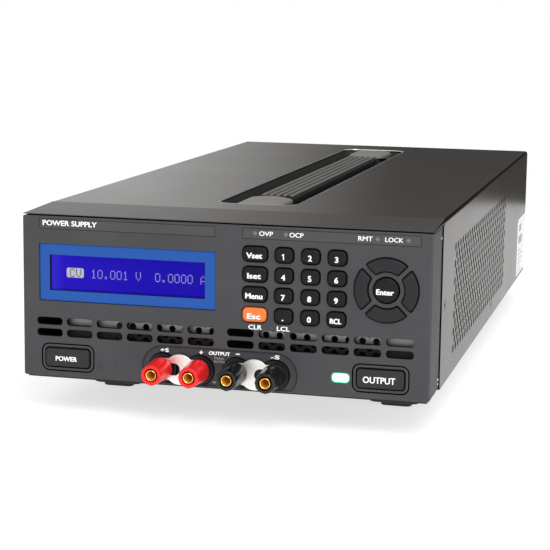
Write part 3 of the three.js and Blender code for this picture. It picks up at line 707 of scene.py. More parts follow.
def front_bezel():
    """The front moulding, with every hole, window and recess in its face."""
    shape = Shape()
    face, inner = bezel_shell(shape)
    front_holes = []
    back_holes = []

    def through(outline, profile, dark=()):
        """A hole; dark names the bands between its profile's points that are painted as shade."""
        loops = rings(outline, [*profile, (0, PLATE)])
        for level, pair in enumerate(zip(loops, loops[1:])):
            shape.loft(pair, look=int(level in dark))
        front_holes.append(grown(outline, profile[0][0]))
        back_holes.append(outline)

    def pan(outline, profile, depth, holes=()):
        """A shallow recess with its own floor."""
        shape.loft(rings(outline, [*profile, (0, depth)]))
        front_holes.append(grown(outline, profile[0][0]))
        shape.fill(outline, holes, front_facing(depth))

    through(frame_outline(*WINDOW, 0.8), fillet(0.3))
    for _, x, z, wide in key_centres():
        hole = rounded(x, z, wide + 2 * KEY_SLACK, KEY_HIGH + 2 * KEY_SLACK, KEY_CORNER + 0.4)
        through(hole, fillet(0.35))
    for quarter in range(4):
        through(arrow_outline(quarter, KEY_SLACK), fillet(0.25))
    through(circle(PAD_X, PAD_Z, PAD_ENTER + KEY_SLACK, 40), fillet(0.3))
    # Each slot's deeper wall bands are painted as shade.
    for x, z in slot_centres():
        through(rounded(x, z, SLOT_WIDE, SLOT_HIGH, SLOT_CORNER), fillet(0.45), dark=(3, 4))
    push_rim = (
        (2.1, 0), (2.02, 0.08), (1.97, 1.1), (1.4, 1.1), (1.35, 0.15), (1.15, -0.1),
        (0.75, -0.22), (0.3, -0.14), (0.05, 0.06), (0, 0.35),
    )
    # The groove round each push button and its inner wall are painted as shade.
    for side in (-1, 1):
        surround = rounded(side * PUSH_X, PUSH_Z, PUSH_WIDE + 1.4, PUSH_HIGH + 1.4, 2.1)
        through(surround, push_rim, dark=(1, 2, 3, 9))
    x, z, wide, high, corner = LAMP
    through(rounded(x, z, wide + 1.7, high + 1.5, corner + 0.5), fillet(0.2))
    for x0, x1, z0, z1 in STRIPS.values():
        pan(frame_outline(x0, x1, z0, z1, 0.5), fillet(0.2), 0.6)
    middle, broad, radius = POCKET
    pocket = rounded(middle, POST_Z, broad, 2 * radius - 0.1, radius - 0.1, 14)
    collars = [circle(x, POST_Z, COLLAR + 0.3, 40) for x in POSTS.values()]
    slope = ((1.0, 0), (0.85, 0.04), (0.7, 0.14), (0.05, POCKET_SINK - 0.14), (-0.15, POCKET_SINK))
    lowest = FACE_LOW + 0.25
    bowl = [[(a, y, max(b, lowest)) for a, y, b in ring] for ring in rings(pocket, slope)]
    shape.loft(bowl)
    rim, floor = ([(a, b) for a, _, b in ring] for ring in (bowl[0], bowl[-1]))
    front_holes.append(rim)
    shape.fill(floor, collars, front_facing(POCKET_SINK))
    for collar in collars:
        shape.loft(rings(collar, ((0, POCKET_SINK), (0, PLATE))))
        back_holes.append(collar)
    shape.fill(face, front_holes, front_facing(0))
    shape.fill(inner, back_holes, front_facing(PLATE))
    piece("front_bezel_moulding", shape, "case", "bezel", BEZEL, PAINTED_SHADE, replaced=("front_bezel",))


def bezel_snaps():
    """Small bright catches in the bezel's side edges, by the case."""
    shape = Shape()
    for side in (-1, 1):
        for y, z, long in ((29.5, 6.5, 1.6), (29.5, 4.2, 0.9), (29.5, 79.5, 1.4)):
            low, high = side * (HALF - 1.2), side * (HALF - 0.42)
            block = [(y - long, z - 0.5), (y + long, z - 0.5), (y + long, z + 0.5), (y - long, z + 0.5)]
            shape.loft(placed(block, side_facing, low, high), end=True)
    piece("bezel_snaps", shape, "case", "steel", NICKEL)


def strip_labels():
    """The two inlaid strips with their printing, and the four indicator lenses."""
    for name, (x0, x1, z0, z1) in STRIPS.items():
        shape = Shape()
        outline = frame_outline(x0 + 0.2, x1 - 0.2, z0 + 0.2, z1 - 0.2, 0.4)
        shape.loft(rings(outline, ((0, 0.5), (0, 0.18), (-0.1, 0.1))))
        shape.fill(grown(outline, -0.1), [], front_facing(0.1))
        shape.fill(outline, [], front_facing(0.5))
        piece(name, shape, "case", "bezel", STRIP)
    shape = Shape()
    flat = level_at(0.1)
    lettering(shape, "POWER SUPPLY", -81.2, 82.0, 2.7, 29.5, flat)
    middle = 81.7
    for text, x, wide in (("OVP", 23.0, 7.2), ("OCP", 38.6, 7.2), ("RMT", 73.4, 7.2),
                          ("LOCK", 87.8, 9.0)):
        lettering(shape, text, x, middle, 2.3, wide, flat, bold=0.04)
    piece("strip_legends", shape, "case", "bezel", GLOWING_INK)
    lenses = Shape()
    for x in (17.3, 33.1, 79.5, 94.8):
        lenses.turned(((1.0, 0.3), (1.0, 0.08), (0.75, 0.02), (0, -0.04)), x, middle, 16)
        lenses.turned(((0, 0.3), (1.0, 0.3)), x, middle, 16)
    piece("indicator_lenses", lenses, "case", "bezel", LED)


def front_legends():
    """Printing on the bezel: key captions, post captions and the faint moulded marks."""
    shape = Shape()
    lettering(shape, "CLR", 17.85, 34.0, 2.4, 7.0)
    lettering(shape, "LCL", 32.5, 34.0, 2.4, 6.6)
    lettering(shape, "+S", -29.9, 19.15, 2.0, 4.6)
    lettering(shape, "+", -10.4, 19.15, 1.9)
    lettering(shape, "OUTPUT", -0.7, 19.15, 1.9, 11.3)
    bar(shape, 7.85, 10.1, 19.2, 19.75)
    lettering(shape, "-S", 28.5, 19.2, 2.0, 4.6)
    piece("front_captions", shape, "case", "bezel", GLOWING_INK)
    faint = Shape()
    lettering(faint, "MAX", -0.7, 16.6, 1.1, 5.0, bold=0.0)
    lettering(faint, "RATED", -0.7, 14.9, 1.1, 5.6, bold=0.0)
    ground(faint, -3.2, 4.2, 1.0)
    piece("front_small_print", faint, "case", "bezel", GREY_INK)
    marks = Shape()
    for x, z in ((-64.5, 10.2), (-56.5, 10.2)):
        ground(marks, x, z - 2.0, 2.0)
        bar(marks, x - 0.25, x + 0.25, z - 0.8, z + 3.2, raised=0.12)
    piece("moulded_marks", marks, "case", "bezel", BEZEL)


def ground(shape, x, z, size):
    """Three stacked bars, the sign for an earth connection."""
    for level, reach in enumerate((1.0, 0.65, 0.3)):
        low = z - level * 0.55 * size
        bar(shape, x - reach * size, x + reach * size, low, low + 0.22 * size, raised=0.1)


# ---- Keys and buttons -------------------------------------------------------------------------
def cap_profile(face, back, flange, turn, crown):
    """Side of a key from its back, past its stop flange, to the rounded edge of its face."""
    stop = PLATE + 0.3
    return [
        (-0.6, back), (0, back), (0, stop + 1), (flange, stop + 1), (flange, stop), (0, stop),
        (0, face + turn + crown), (-0.08 * turn, face + 0.6 * turn + crown),
        (-0.3 * turn, face + 0.27 * turn + crown), (-0.62 * turn, face + 0.08 * turn + crown),
        (-turn, face + crown),
    ]


def share_to_edge(outline, x, z, a, b):
    """How far (a, b) lies on the way from (x, z) to the outline, from 0 to 1."""
    ray = Vector((a - x, b - z))
    for (a0, b0), (a1, b1) in zip(outline, outline[1:] + outline[:1]):
        start = Vector((a0 - x, b0 - z))
        along = Vector((a1 - a0, b1 - b0))
        cross = ray.x * along.y - ray.y * along.x
        if abs(cross) < 1e-12:
            continue
        far = (start.x * along.y - start.y * along.x) / cross
        where = (start.x * ray.y - start.y * ray.x) / cross
        if far > 0 and 0 <= where <= 1:
            return min(1, 1 / far)
    return 0.0


def domed_key(shape, outline, x, z, crown, turn):
    """A key with a rounded edge and a gently domed face; returns the face's surface."""
    face = KEY_FACE
    shape.loft(rings(outline, cap_profile(face, KEY_BACK, KEY_FLANGE, turn, crown)), start=True)
    edge = grown(outline, -turn)

    def surface(a, b):
        return face + crown * share_to_edge(edge, x, z, a, b) ** 2

    levels = []
    for share in (1.0, 0.8, 0.6, 0.4, 0.2):
        levels.append([
            (x + (a - x) * share, face + crown * share * share, z + (b - z) * share)
            for a, b in edge
        ])
    shape.loft(levels)
    shape.fan(levels[-1], (x, face, z))
    return surface


# What each named key says, with the width and height of its letters; other keys say their name.
LEGENDS = {
    "vset": ("Vset", 8.3, 2.9), "iset": ("Iset", 7.2, 2.9), "menu": ("Menu", 9.0, 2.9),
    "esc": ("Esc", 7.0, 2.9), "recall": ("RCL", 5.9, 2.7), "point": (".", None, 0.8),
}


def keypad():
    """Keypad keys with their legends, the arrow ring and the enter key."""
    for name, x, z, wide in key_centres():
        shape = Shape()
        outline = rounded(x, z, wide, KEY_HIGH, KEY_CORNER)
        surface = domed_key(shape, outline, x, z, crown=0.3, turn=0.95)
        text, broad, high = LEGENDS.get(name, (name, None, 3.0))
        drop = 1.9 if name == "point" else 0.75
        lettering(shape, text, x - 0.15, z + 0.1 - drop, high, broad, surface, bold=0.17, look=1)
        slot = "key_orange" if name == "esc" else "key"
        skin = ORANGE if name == "esc" else KEY
        node = f"key_{name}"
        piece(f"{node}_cap", shape, node, slot, skin, GLOWING_INK, replaced=(node,))
    for quarter, name in enumerate(("right", "up", "left", "down")):
        shape = Shape()
        outline = arrow_outline(quarter, 0, 1.0)
        profile = cap_profile(KEY_FACE, KEY_BACK, KEY_FLANGE, 0.7, 0.0)
        shape.loft(rings(outline, profile))
        shape.fill(grown(outline, -0.7), [], front_facing(KEY_FACE))
        shape.fill(grown(outline, -0.6), [], front_facing(KEY_BACK))
        node = f"arrow_{name}"
        piece(f"{node}_cap", shape, node, "key", ARROW, replaced=(node,))
    shape = Shape()
    ring = circle(PAD_X, PAD_Z, PAD_ENTER, 48)
    surface = domed_key(shape, ring, PAD_X, PAD_Z, crown=0.45, turn=1.2)
    lettering(shape, "Enter", PAD_X - 0.45, PAD_Z - 0.8, 2.8, 9.0, surface, bold=0.17, look=1)
    piece("key_enter_cap", shape, "key_enter", "key", KEY, GLOWING_INK, replaced=("key_enter",))


def push_buttons():
    """POWER and OUTPUT, with the lit lamp beside OUTPUT."""
    for name, side, text, wide, high in (
        ("power_button", -1, "POWER", 11.8, 2.5), ("output_button", 1, "OUTPUT", 16.4, 3.3),
    ):
        shape = Shape()
        outline = rounded(side * PUSH_X, PUSH_Z, PUSH_WIDE, PUSH_HIGH, PUSH_CORNER)
        profile = cap_profile(PUSH_FACE, 9, 1.4, 0.6, 0.12)
        shape.loft(rings(outline, profile), start=True)
        brim = grown(outline, -0.6)
        dish = grown(outline, -1.3)
        dished = PUSH_FACE + 0.3
        shape.loft([[(a, PUSH_FACE + 0.12, b) for a, b in brim], [(a, dished, b) for a, b in dish]])
        shape.fill(dish, [], front_facing(dished))
        lettering(shape, text, side * PUSH_X - 0.6, PUSH_Z - 0.5, high, wide, level_at(dished), look=1)
        piece(f"{name}_cap", shape, name, "key", BUTTON, GLOWING_INK, replaced=(name,))
    x, z, wide, high, corner = LAMP
    core = Shape()
    outline = rounded(x, z, wide, high, corner)
    core.loft(rings(outline, ((-0.5, 6), (0, 6), (0, 0.1), (-0.12, -0.12), (-0.4, -0.26))), start=True)
    core.fill(grown(outline, -0.4), [], front_facing(-0.26))
    piece("output_lamp_lens", core, "case", "lamp", LAMP_CORE, replaced=("output_lamp",))
    halo = Shape()
    outer = rounded(x, z, wide + 1.5, high + 1.3, corner + 0.4)
    halo.loft([
        *rings(outer, ((0, 2.2), (0, 0.1), (-0.1, 0.02))),
        *rings(outline, ((0.15, 0.02), (0.1, 0.1), (0.1, 2.2))),
    ])
    halo.loft([*rings(outer, ((0, 2.2),)), *rings(outline, ((0.1, 2.2),))])
    piece("output_lamp_collar", halo, "case", "lamp", LAMP_EDGE)


# ---- Display ----------------------------------------------------------------------------------
# Characters of the display, row by row from the top.
GLYPHS = {
    "0": ("01110", "10001", "10001", "10001", "10001", "10001", "01110"),
    "1": ("00100", "01100", "00100", "00100", "00100", "00100", "01110"),
    ".": ("00000", "00000", "00000", "00000", "00000", "01100", "01100"),
    "V": ("10001", "10001", "10001", "10001", "10001", "01010", "00100"),
    "A": ("00100", "01010", "10001", "10001", "11111", "10001", "10001"),
    "C": ("01110", "10001", "10000", "10000", "10000", "10001", "01110"),
    " ": ("00000",) * 7,
}
DOT_WIDE, DOT_HIGH = 0.578, 0.672
TEXT_LEFT, TEXT_TOP = -71.2, 58.1


def dots(shape, text, left, top, y, look=0):
    """Characters of five by seven dots, from their upper left corner."""
    gap = 0.07
    for place, letter in enumerate(text):
        for row, line in enumerate(GLYPHS[letter]):
            for column, on in enumerate(line):
                if on == "1":
                    x0 = left + (place * 6 + column) * DOT_WIDE
                    z1 = top - row * DOT_HIGH
                    bar(shape, x0 + gap, x0 + DOT_WIDE - gap, z1 - DOT_HIGH + gap, z1 - gap,
                        y, 0.04, look)


def display():
    """The lit surround, the panel behind it and its characters."""
    low, high = node_box("display_frame")
    screen_low, screen_high = node_box("lcd_panel")
    view = frame_outline(screen_low[0] + 2, screen_high[0] - 2, screen_low[2] + 2,
                         screen_high[2] - 2, 0.3, 2)
    outer = frame_outline(low[0] + 2, high[0] - 2, low[2] + 2, high[2] - 2, 0.6, 3)
    sink = low[1]
    shape = Shape()
    shape.loft(rings(outer, ((0, high[1]), (0, sink + 0.2), (-0.2, sink))))
    shape.fill(grown(outer, -0.2), [grown(view, 0.3)], front_facing(sink))
    shape.fill(outer, [view], front_facing(high[1]))
    shape.loft(rings(view, ((0.3, sink), (0.06, sink + 0.06))))
    shape.loft(rings(view, ((0.06, sink + 0.06), (0, sink + 0.3), (0, high[1]))), look=1)
    piece("display_surround", shape, "case", "lit_frame", FRAME_BLUE, WELL,
          replaced=("display_frame",))
    glass = Shape()
    y = screen_low[1]
    outline = frame_outline(screen_low[0], screen_high[0], screen_low[2], screen_high[2], 0.8)
    glass.loft(rings(outline, ((-0.4, y), (0, y + 0.4), (0, screen_high[1]))), start=True, end=True)
    piece("lcd_module", glass, "case", "lcd", LCD, replaced=("lcd_panel",))
    text = Shape()
    dots(text, "10.001 V  0.0000 A", TEXT_LEFT, TEXT_TOP, y)
    box_left, box_right = -84.6, -75.2
    box = frame_outline(box_left, box_right, 53.3, 58.4, 1.0)
    text.loft(rings(box, ((0, y + 0.1), (0, y - 0.04))), look=1)
    text.fill(box, [], front_facing(y - 0.04), look=1)
    dots(text, "CV", box_left + 1.7, TEXT_TOP, y - 0.06, look=2)
    piece("lcd_characters", text, "case", "lcd", LCD_DOT, LCD_BOX, WELL)


# ---- Binding posts ----------------------------------------------------------------------------
def knob_loop(x, y, radius, flats, flutes, sides=72):
    """Cross-section of a post cap: a circle pressed towards a hexagon, with shallow flutes."""
    loop = []
    for turn in turns(sides):
        sixth = (turn + math.pi / 6) % (math.pi / 3) - math.pi / 6
        hexagon = radius * 0.93 / math.cos(sixth)
        reach = radius + (min(hexagon, radius) - radius) * flats
        reach -= flutes * (0.5 - 0.5 * math.cos(12 * turn))
        loop.append((x + reach * math.cos(turn), y, POST_Z + reach * math.sin(turn)))
    return loop


def post_caps():
    """The screw caps, each turned in from a round back through flats to a fluted front."""
    for name, x in POSTS.items():
        skin, slot = (RED, "post_red") if "plus" in name else (BLACK, "post_black")
        node = f"post_cap_{name}"
        low, high = node_box(node)
        front, rear = low[1], high[1]
        shape = Shape()
        bore = 3.15
        stations = (
            (rear, 5.6, 0, 0), (rear - 0.25, 6.05, 0, 0), (rear - 1.6, 6.15, 0.2, 0),
            (rear - 2.2, 6.1, 0.8, 0), (rear - 5.0, 6.05, 1, 0.02), (rear - 9.0, 5.85, 1, 0.06),
            (rear - 12.0, 5.65, 0.7, 0.14), (front + 1.8, 5.5, 0.4, 0.2),
            (front + 0.7, 5.35, 0.2, 0.2), (front + 0.22, 5.1, 0.1, 0.12), (front, 4.7, 0, 0),
        )
        outside = [knob_loop(x, y, r, flats, flutes) for y, r, flats, flutes in stations]
        inside = [knob_loop(x, y, r, 0, 0) for y, r in (
            (front, 3.75), (front + 0.35, 3.45), (front + 0.9, bore + 0.1), (rear, bore),
        )]
        shape.loft([*outside, *inside, outside[0]])
        piece(f"{node}_knob", shape, node, slot, skin, replaced=(node,))


def post_studs():
    """Studs with their 4 mm sockets, and the insulator with a collar round each."""
    for name, x in POSTS.items():
        node = f"post_stud_{name}"
        front = node_box(node)[0][1]
        profile = (
            (0, -4), (1.2, -4.3), (2.0, -5.2), (2.0, front + 0.7), (2.25, front + 0.15),
            (2.5, front), (2.7, front + 0.12), (2.8, front + 0.5), (2.8, 6.5), (4.4, 6.5),
            (4.6, 6.7), (4.6, 9.1), (4.4, 9.3), (0, 9.3),
        )
        shape = Shape()
        shape.turned(profile[:4], x, POST_Z, 40, look=1)
        shape.turned(profile[3:], x, POST_Z, 40)
        piece(f"{node}_barrel", shape, "case", "brass", GOLD, SOCKET, replaced=(node,))
    shape = Shape()
    for x in POSTS.values():
        shape.turned(((3.2, 2.9), (3.2, -0.9), (3.5, -1.0), (7.2, -1.0), (COLLAR - 0.15, -0.9),
                      (COLLAR, -0.6), (COLLAR, 2.9)), x, POST_Z, 48)
    holes = [circle(x, POST_Z, 3.2, 48) for x in POSTS.values()]
    seats = [circle(x, POST_Z, COLLAR, 48) for x in POSTS.values()]
    low, high = node_box("post_base")
    outline = frame_outline(low[0], high[0], low[2], high[2], 2)
    shape.fill(outline, seats, front_facing(2.9))
    shape.fill(outline, holes, front_facing(6.2))
    shape.loft(rings(outline, ((0, 2.9), (0, 6.2))))
    for hole in holes:
        shape.loft(rings(hole, ((0, 2.9), (0, 6.2))))
    piece("post_insulator", shape, "case", "post_black", COLLAR_BLACK, replaced=("post_base",))


def link_outline(main, sense):
    """Outline of a shorting link: two eyes and a wide middle joined by hollow curves."""
    middle = (main + sense) / 2
    half = abs(main - sense) / 2
    eye, belly = 5.8, 8.0
    upper = []
    steps = 48
    for i in range(steps + 1):
        a = -half - eye + (2 * half + 2 * eye) * i / steps
        heights = [0.0]
        for centre, radius in ((-half, eye), (0, belly), (half, eye)):
            if abs(a - centre) < radius:
                heights.append(math.sqrt(radius ** 2 - (a - centre) ** 2))
        waist = 5.6 if abs(a) < half else 0.0
        upper.append((a, max(*heights, waist)))
    points = [(middle + a, POST_Z + h) for a, h in reversed(upper)]
    points += [(middle + a, POST_Z - h) for a, h in upper[1:-1]]
    return points


def shorting_links():
    """A plate from each main post to its sense post, slotted at the sense end."""
    for pole in ("plus", "minus"):
        name = f"link_{pole}"
        main, sense = POSTS[pole], POSTS[f"sense_{pole}"]
        low, high = node_box(name)
        outline = link_outline(main, sense)
        toward = math.copysign(1, main - sense)
        end = sense + toward * 6.8
        slot = frame_outline(min(sense, end) - 3.2, max(sense, end) + 3.2, POST_Z - 3.2,
                             POST_Z + 3.2, 3.19, 8)
        eye = circle(main, POST_Z, 3.2, 32)
        shape = Shape()
        front, back, turn = low[1], high[1], 0.22
        shape.fill(grown(outline, -turn), [slot, eye], front_facing(front))
        shape.fill(outline, [slot, eye], front_facing(back))
        shape.loft(rings(outline, ((-turn, front), (-0.06, front + 0.06), (0, front + turn), (0, back))))
        for hole in (slot, eye):
            shape.loft(rings(hole, ((0, front), (0, back))))
        piece(f"{name}_plate", shape, "case", "nickel", NICKEL, replaced=(name,), sharp=50)


# ---- Case -------------------------------------------------------------------------------------
# Field of the round holes in each side: its limits, the spacing and the holes' radius.
PERFORATION = {"y": (78, 305), "z": (13, 72), "pitch": 9.2, "rise": 4.6, "radius": 2.4}
RECESS = (22.4, 64, 405, 10)  # half width, front end, rear end and corner radius
COVER_SCREWS = ((43, 43), (242, 8))
COVER_LOW = 0.3
SIDE_FRONT, TOP_FRONT = BEZEL_DEPTH + 0.5, BROW
SEAM_SHADE_COLUMNS = (2, 3, 4, 5)  # columns of the rounded top edge painted as shade, a dark line where the top and side sheets meet


def perforations():
    """Centres of the staggered round holes in a side of the cover, in y and z."""
    (y0, y1), (z0, z1) = PERFORATION["y"], PERFORATION["z"]
    pitch, rise = PERFORATION["pitch"], PERFORATION["rise"]
    centres = []
    for row in range(int((z1 - z0) / rise) + 1):
        z = z0 + row * rise
        start = y0 + (row % 2) * pitch / 2
        centres += [(start + i * pitch, z) for i in range(int((y1 - start) / pitch) + 1)]
    return centres


def cover_arc(inset, side):
    """Round top edge of the cover, from its side to its top, in x and z."""
    radius = CORNER - inset
    return [
        (side * (SIDE_X - CORNER + radius * math.cos(turn)), TOP - CORNER + radius * math.sin(turn))
        for turn in quarter_turns(8)
    ]


def recess_outline():
    """The handle's opening in the top of the cover, in x and y."""
    half, y0, y1, corner = RECESS
    return frame_outline(-half, half, y0, y1, corner, 10)


def top_cover():
    """Arch of sheet metal with perforated sides and the handle's opening."""
    shape = Shape()
    opening = recess_outline()
    flat_half = SIDE_X - CORNER
    shoulder = TOP - CORNER
    roof = [(-flat_half, TOP_FRONT), (flat_half, TOP_FRONT), (flat_half, REAR), (-flat_half, REAR)]
    for z in (TOP, TOP - SHEET):
        shape.fill(roof, [opening], top_facing(z))
    shape.loft(placed(opening, top_facing, TOP, TOP - SHEET))
    wall = [
        (SIDE_FRONT, COVER_LOW), (REAR, COVER_LOW), (REAR, shoulder), (TOP_FRONT, shoulder),
        (SIDE_FRONT, shoulder - 1),
    ]
    holes = [circle(y, z, PERFORATION["radius"], 12) for y, z in perforations()]
    holes += [circle(y, z, 3.0, 20) for y, z in COVER_SCREWS]
    for side in (-1, 1):
        faces = side * SIDE_X, side * (SIDE_X - SHEET)
        for x in faces:
            shape.fill(wall, holes, side_facing(x))
        for hole in holes:
            shape.loft(placed(hole, side_facing, *faces))
        shape.loft(placed(wall[:3], side_facing, *faces), closed=False)
        # The sheet's front edge by the bezel is painted as shade.
        edge = [(SIDE_FRONT, COVER_LOW), (SIDE_FRONT, shoulder - 1)]
        shape.loft(placed(edge, side_facing, *faces), look=1, closed=False)
        front_out, front_in, rear_out, rear_in = [
            [(x, y, z) for x, z in cover_arc(inset, side)]
            for y in (TOP_FRONT, REAR) for inset in (0, SHEET)
        ]
        # The middle of the rounded top edge is painted as shade, a dark seam line.
        shape.loft_shaded((front_out, rear_out), lambda _, column: column in SEAM_SHADE_COLUMNS, closed=False)
        for pair in ((front_in, rear_in), (front_out, front_in), (rear_out, rear_in)):
            shape.loft(pair, closed=False)
        step = [(TOP_FRONT, shoulder), (SIDE_FRONT, shoulder - 1)]
        shape.loft(placed(step, side_facing, *faces), closed=False)
    for y in (TOP_FRONT, REAR):
        shape.loft([[(-flat_half, y, z), (flat_half, y, z)] for z in (TOP, TOP - SHEET)],
                   closed=False)
    piece("cover_sheet", shape, "case", "paint", PAINT, PAINTED_SHADE, replaced=("top_cover",), sharp=30)


def screw(shape, point, radius, depth, look=0):
    """Countersunk screw with a cross recess; point(a, b, d) puts it in its surface."""
    sides = 24
    head = []
    for r, d in ((radius, 0.3), (radius * 0.93, 0.02), (radius * 0.8, 0.0)):
        head.append([point(r * math.cos(t), r * math.sin(t), d) for t in turns(sides)])
    shape.loft(head, look)
    arm, thick = radius * 0.55, radius * 0.14
    cross = []
    for quarter in range(4):
        c, s = round(math.cos(quarter * QUARTER)), round(math.sin(quarter * QUARTER))
        for a, b in ((arm, -thick), (arm, thick), (thick, thick)):
            cross.append((a * c - b * s, a * s + b * c))
    rim = [(radius * 0.8 * math.cos(t), radius * 0.8 * math.sin(t)) for t in turns(sides)]
    shape.fill(rim, [cross], lambda a, b: point(a, b, 0.0), look)
    shape.loft([[point(a, b, d) for a, b in cross] for d in (0.0, depth)], look)
    shape.fill(cross, [], lambda a, b: point(a, b, depth), look)
    base = [point(radius * math.cos(t), radius * math.sin(t), depth + 0.3) for t in turns(sides)]
    shape.loft([head[0], base], look, end=True)


def case_screws():
    """The screws in both sides of the cover."""
    shape = Shape()
    for side in (-1, 1):
        for y, z in COVER_SCREWS:
            screw(shape, lambda a, b, d: (side * (SIDE_X - 0.05 - d), y + a, z + b), 2.9, 1.0)
    piece("cover_screws", shape, "case", "steel", SCREW)


def side_label():
    """A plain printed label low on the right side, at the rear."""
    shape = Shape()
    x0, x1 = SIDE_X + 0.01, HALF - 0.01
    y0, y1, z1 = 387, REAR - 0.5, 43
    outline = [(y0, 2.5), (y1, 2.5), (y1, z1), (y0 + 4, z1), (y0, z1 - 3)]
    for x in (x1, x0):
        shape.fill(outline, [], side_facing(x))
    shape.loft(placed(outline, side_facing, x0, x1))
    prints = [(33.5, 5.0, 10, 24), (24.5, 6.0, 8, 30)]
    prints += [(19.5 - 3.1 * row, 0.9, 6, 24 + 9 * (row * 3 % 4) / 3) for row in range(6)]
    for z, tall, start, end in prints:
        left, right, top = y0 + start, y0 + end, z + tall
        block = [(left, z), (right, z), (right, top), (left, top)]
        shape.loft(placed(block, side_facing, x1 - 0.02, HALF), look=1, start=True, end=True)
    piece("side_label", shape, "case", "paint", PAPER, GREY_INK)


def recess_rim():
    """Bright rolled edge around the handle's opening."""
    loops = plan_rings(recess_outline(), [
        (-0.3 + 0.55 * math.cos(turn), TOP - 0.45 + 0.5 * math.sin(turn)) for turn in turns(8)
    ])
    shape = Shape()
    shape.loft([*loops, loops[0]])
    piece("recess_rim", shape, "case", "steel", RIM)


def handle_tray():
    """The well that the strap lies in, with a rolled floor edge and a flange under the cover."""
    low, high = node_box("handle_tray")
    path = recess_outline()
    floor = low[2] + SHEET
    roll = 4.0
    inside = [(0.0, high[2]), (0.0, floor + roll)]
    inside += [
        (-roll * (1 - math.cos(turn)), floor + roll * (1 - math.sin(turn)))
        for turn in quarter_turns(5)[1:]
    ]
    flange = 7
    outside = [
        (-roll, low[2]), (SHEET - 1.5, low[2] + 1.0), (SHEET, low[2] + 3), (SHEET, high[2] - 1),
        (flange, high[2] - 1), (flange, high[2]), (0, high[2]),
    ]
    shape = Shape()
    shape.loft(plan_rings(path, inside))
    shape.loft(plan_rings(path, outside))
    for z in (floor, low[2]):
        shape.fill(grown(path, -roll), [], top_facing(z))
    piece("handle_well", shape, "case", "tray", TRAY, replaced=("handle_tray",))


def chassis_tray():
    """Floor with vents, side flanges and standoffs."""
    low, high = node_box("base_chassis")
    half = high[0]
    shape = Shape()
    vents = [
        rounded(x, y, 26, 3, 1.4, 3) for y in (150, 160, 170, 180, 190, 280, 290, 300, 310)
        for x in (-50, -12, 26, 64)
    ]
    outline = [(-half, low[1]), (half, low[1]), (half, high[1]), (-half, high[1])]
    floor = (0, 1)
    for z in floor:
        shape.fill(outline, vents, top_facing(z))
    for ring in [outline, *vents]:
        shape.loft(placed(ring, top_facing, *floor))
    for side in (-1, 1):
        outer, inner, front, rear = side * half, side * (half - 1), 36, 432
        flange = [(outer, front), (inner, front), (inner, rear), (outer, rear)]
        shape.loft(placed(flange, top_facing, 1, 12), start=True, end=True)
        for y in (80, 380):
            shape.loft([
                [(side * 85 + r * math.cos(t), y + r * math.sin(t), z) for t in turns(20)]
                for r, z in ((4.4, 1), (3.6, 1.8), (3.5, 7.6), (3.1, 8))
            ], end=True)
    piece("chassis_tray", shape, "case", "steel", PAINT, replaced=("base_chassis",))


# The punched wall: its holes, its left end, and the height where its lower band, painted as shade, starts.
SCREEN = {"pitch": 7.1, "radius": 1.75, "first": -55.5, "level": 29.6, "left": -84, "band": 27.7}


def screen_holes(low, high):
    """The staggered holes between two heights, cut off near them; blank by the front's middle."""
    pitch, radius, margin = SCREEN["pitch"], SCREEN["radius"], SCREEN["radius"] * 0.4
    holes = []
    for row in range(-1, 3):
        z = SCREEN["level"] - row * pitch / 2
        if not low + margin < z < high - margin:
            continue
        start = SCREEN["first"] + (row % 2) * pitch / 2
        for x in (start + i * pitch for i in range(20)):
            if -2 < x < 19 or x > 84:
                continue
            hole = circle(x, z, radius, 16)
            holes.append([(a, min(max(b, low + 0.15), high - 0.15)) for a, b in hole])
    return holes


def front_screen():
    """The punched wall behind the front's slots, with its lower band, shelf and upright painted as shade.
    """
    shape = Shape()
    reach = node_box("base_chassis")[1][0] - 1.5
    left, band = SCREEN["left"], SCREEN["band"]
    front, back, step, top = 4.2, 14.0, 19.0, 34.6
    # The upper band keeps the steel; the lower band is painted as shade.
    for look, z0, z1 in ((0, band, top), (1, step, band)):
        holes = screen_holes(z0, z1)
        sheet = [(left, z0), (reach, z0), (reach, z1), (left, z1)]
        gap = [(2, z0 + 0.4), (17, z0 + 0.4), (17, z1 - 0.4), (2, z1 - 0.4)]
        for y in (front, front + 1):
            shape.fill(sheet, [*holes, gap], front_facing(y), look)
        for ring in [sheet, gap, *holes]:
            shape.loft(placed(ring, front_facing, front, front + 1), look)
    # Shelf and upright behind the wall are painted as shade.
    shelf = [(-reach, step), (reach, step), (reach, step + 1), (-reach, step + 1)]
    shape.loft(placed(shelf, front_facing, front, back), look=1, start=True, end=True)
    upright = [(-reach, back - 1), (reach, back - 1), (reach, back), (-reach, back)]
    shape.loft(placed(upright, top_facing, 1, step), look=1, start=True, end=True)
    piece("front_screen", shape, "case", "steel", STEEL, LOWER_BAND_SHADE)


# Each level of a foot: height, inner and outer side, how much shorter, and corner radius.
FOOT_LEVELS = (
    (-0.2, 60, 93, 0, 2), (-2.2, 60, 93, 0, 2), (-2.9, 60.6, 92.9, 0.3, 2),
    (-3.4, 61.4, 92.5, 0.8, 2), (-14.8, 64.6, 92.0, 1.0, 2.2), (-15.7, 65.2, 91.4, 1.5, 2.4),
    (-16, 66, 90.6, 2.2, 2.4), (-16, 70.5, 87.3, 4, 2.5), (-17.6, 70.5, 87.3, 4, 2.5),
    (-18, 70.9, 86.9, 4.4, 2.5),
)


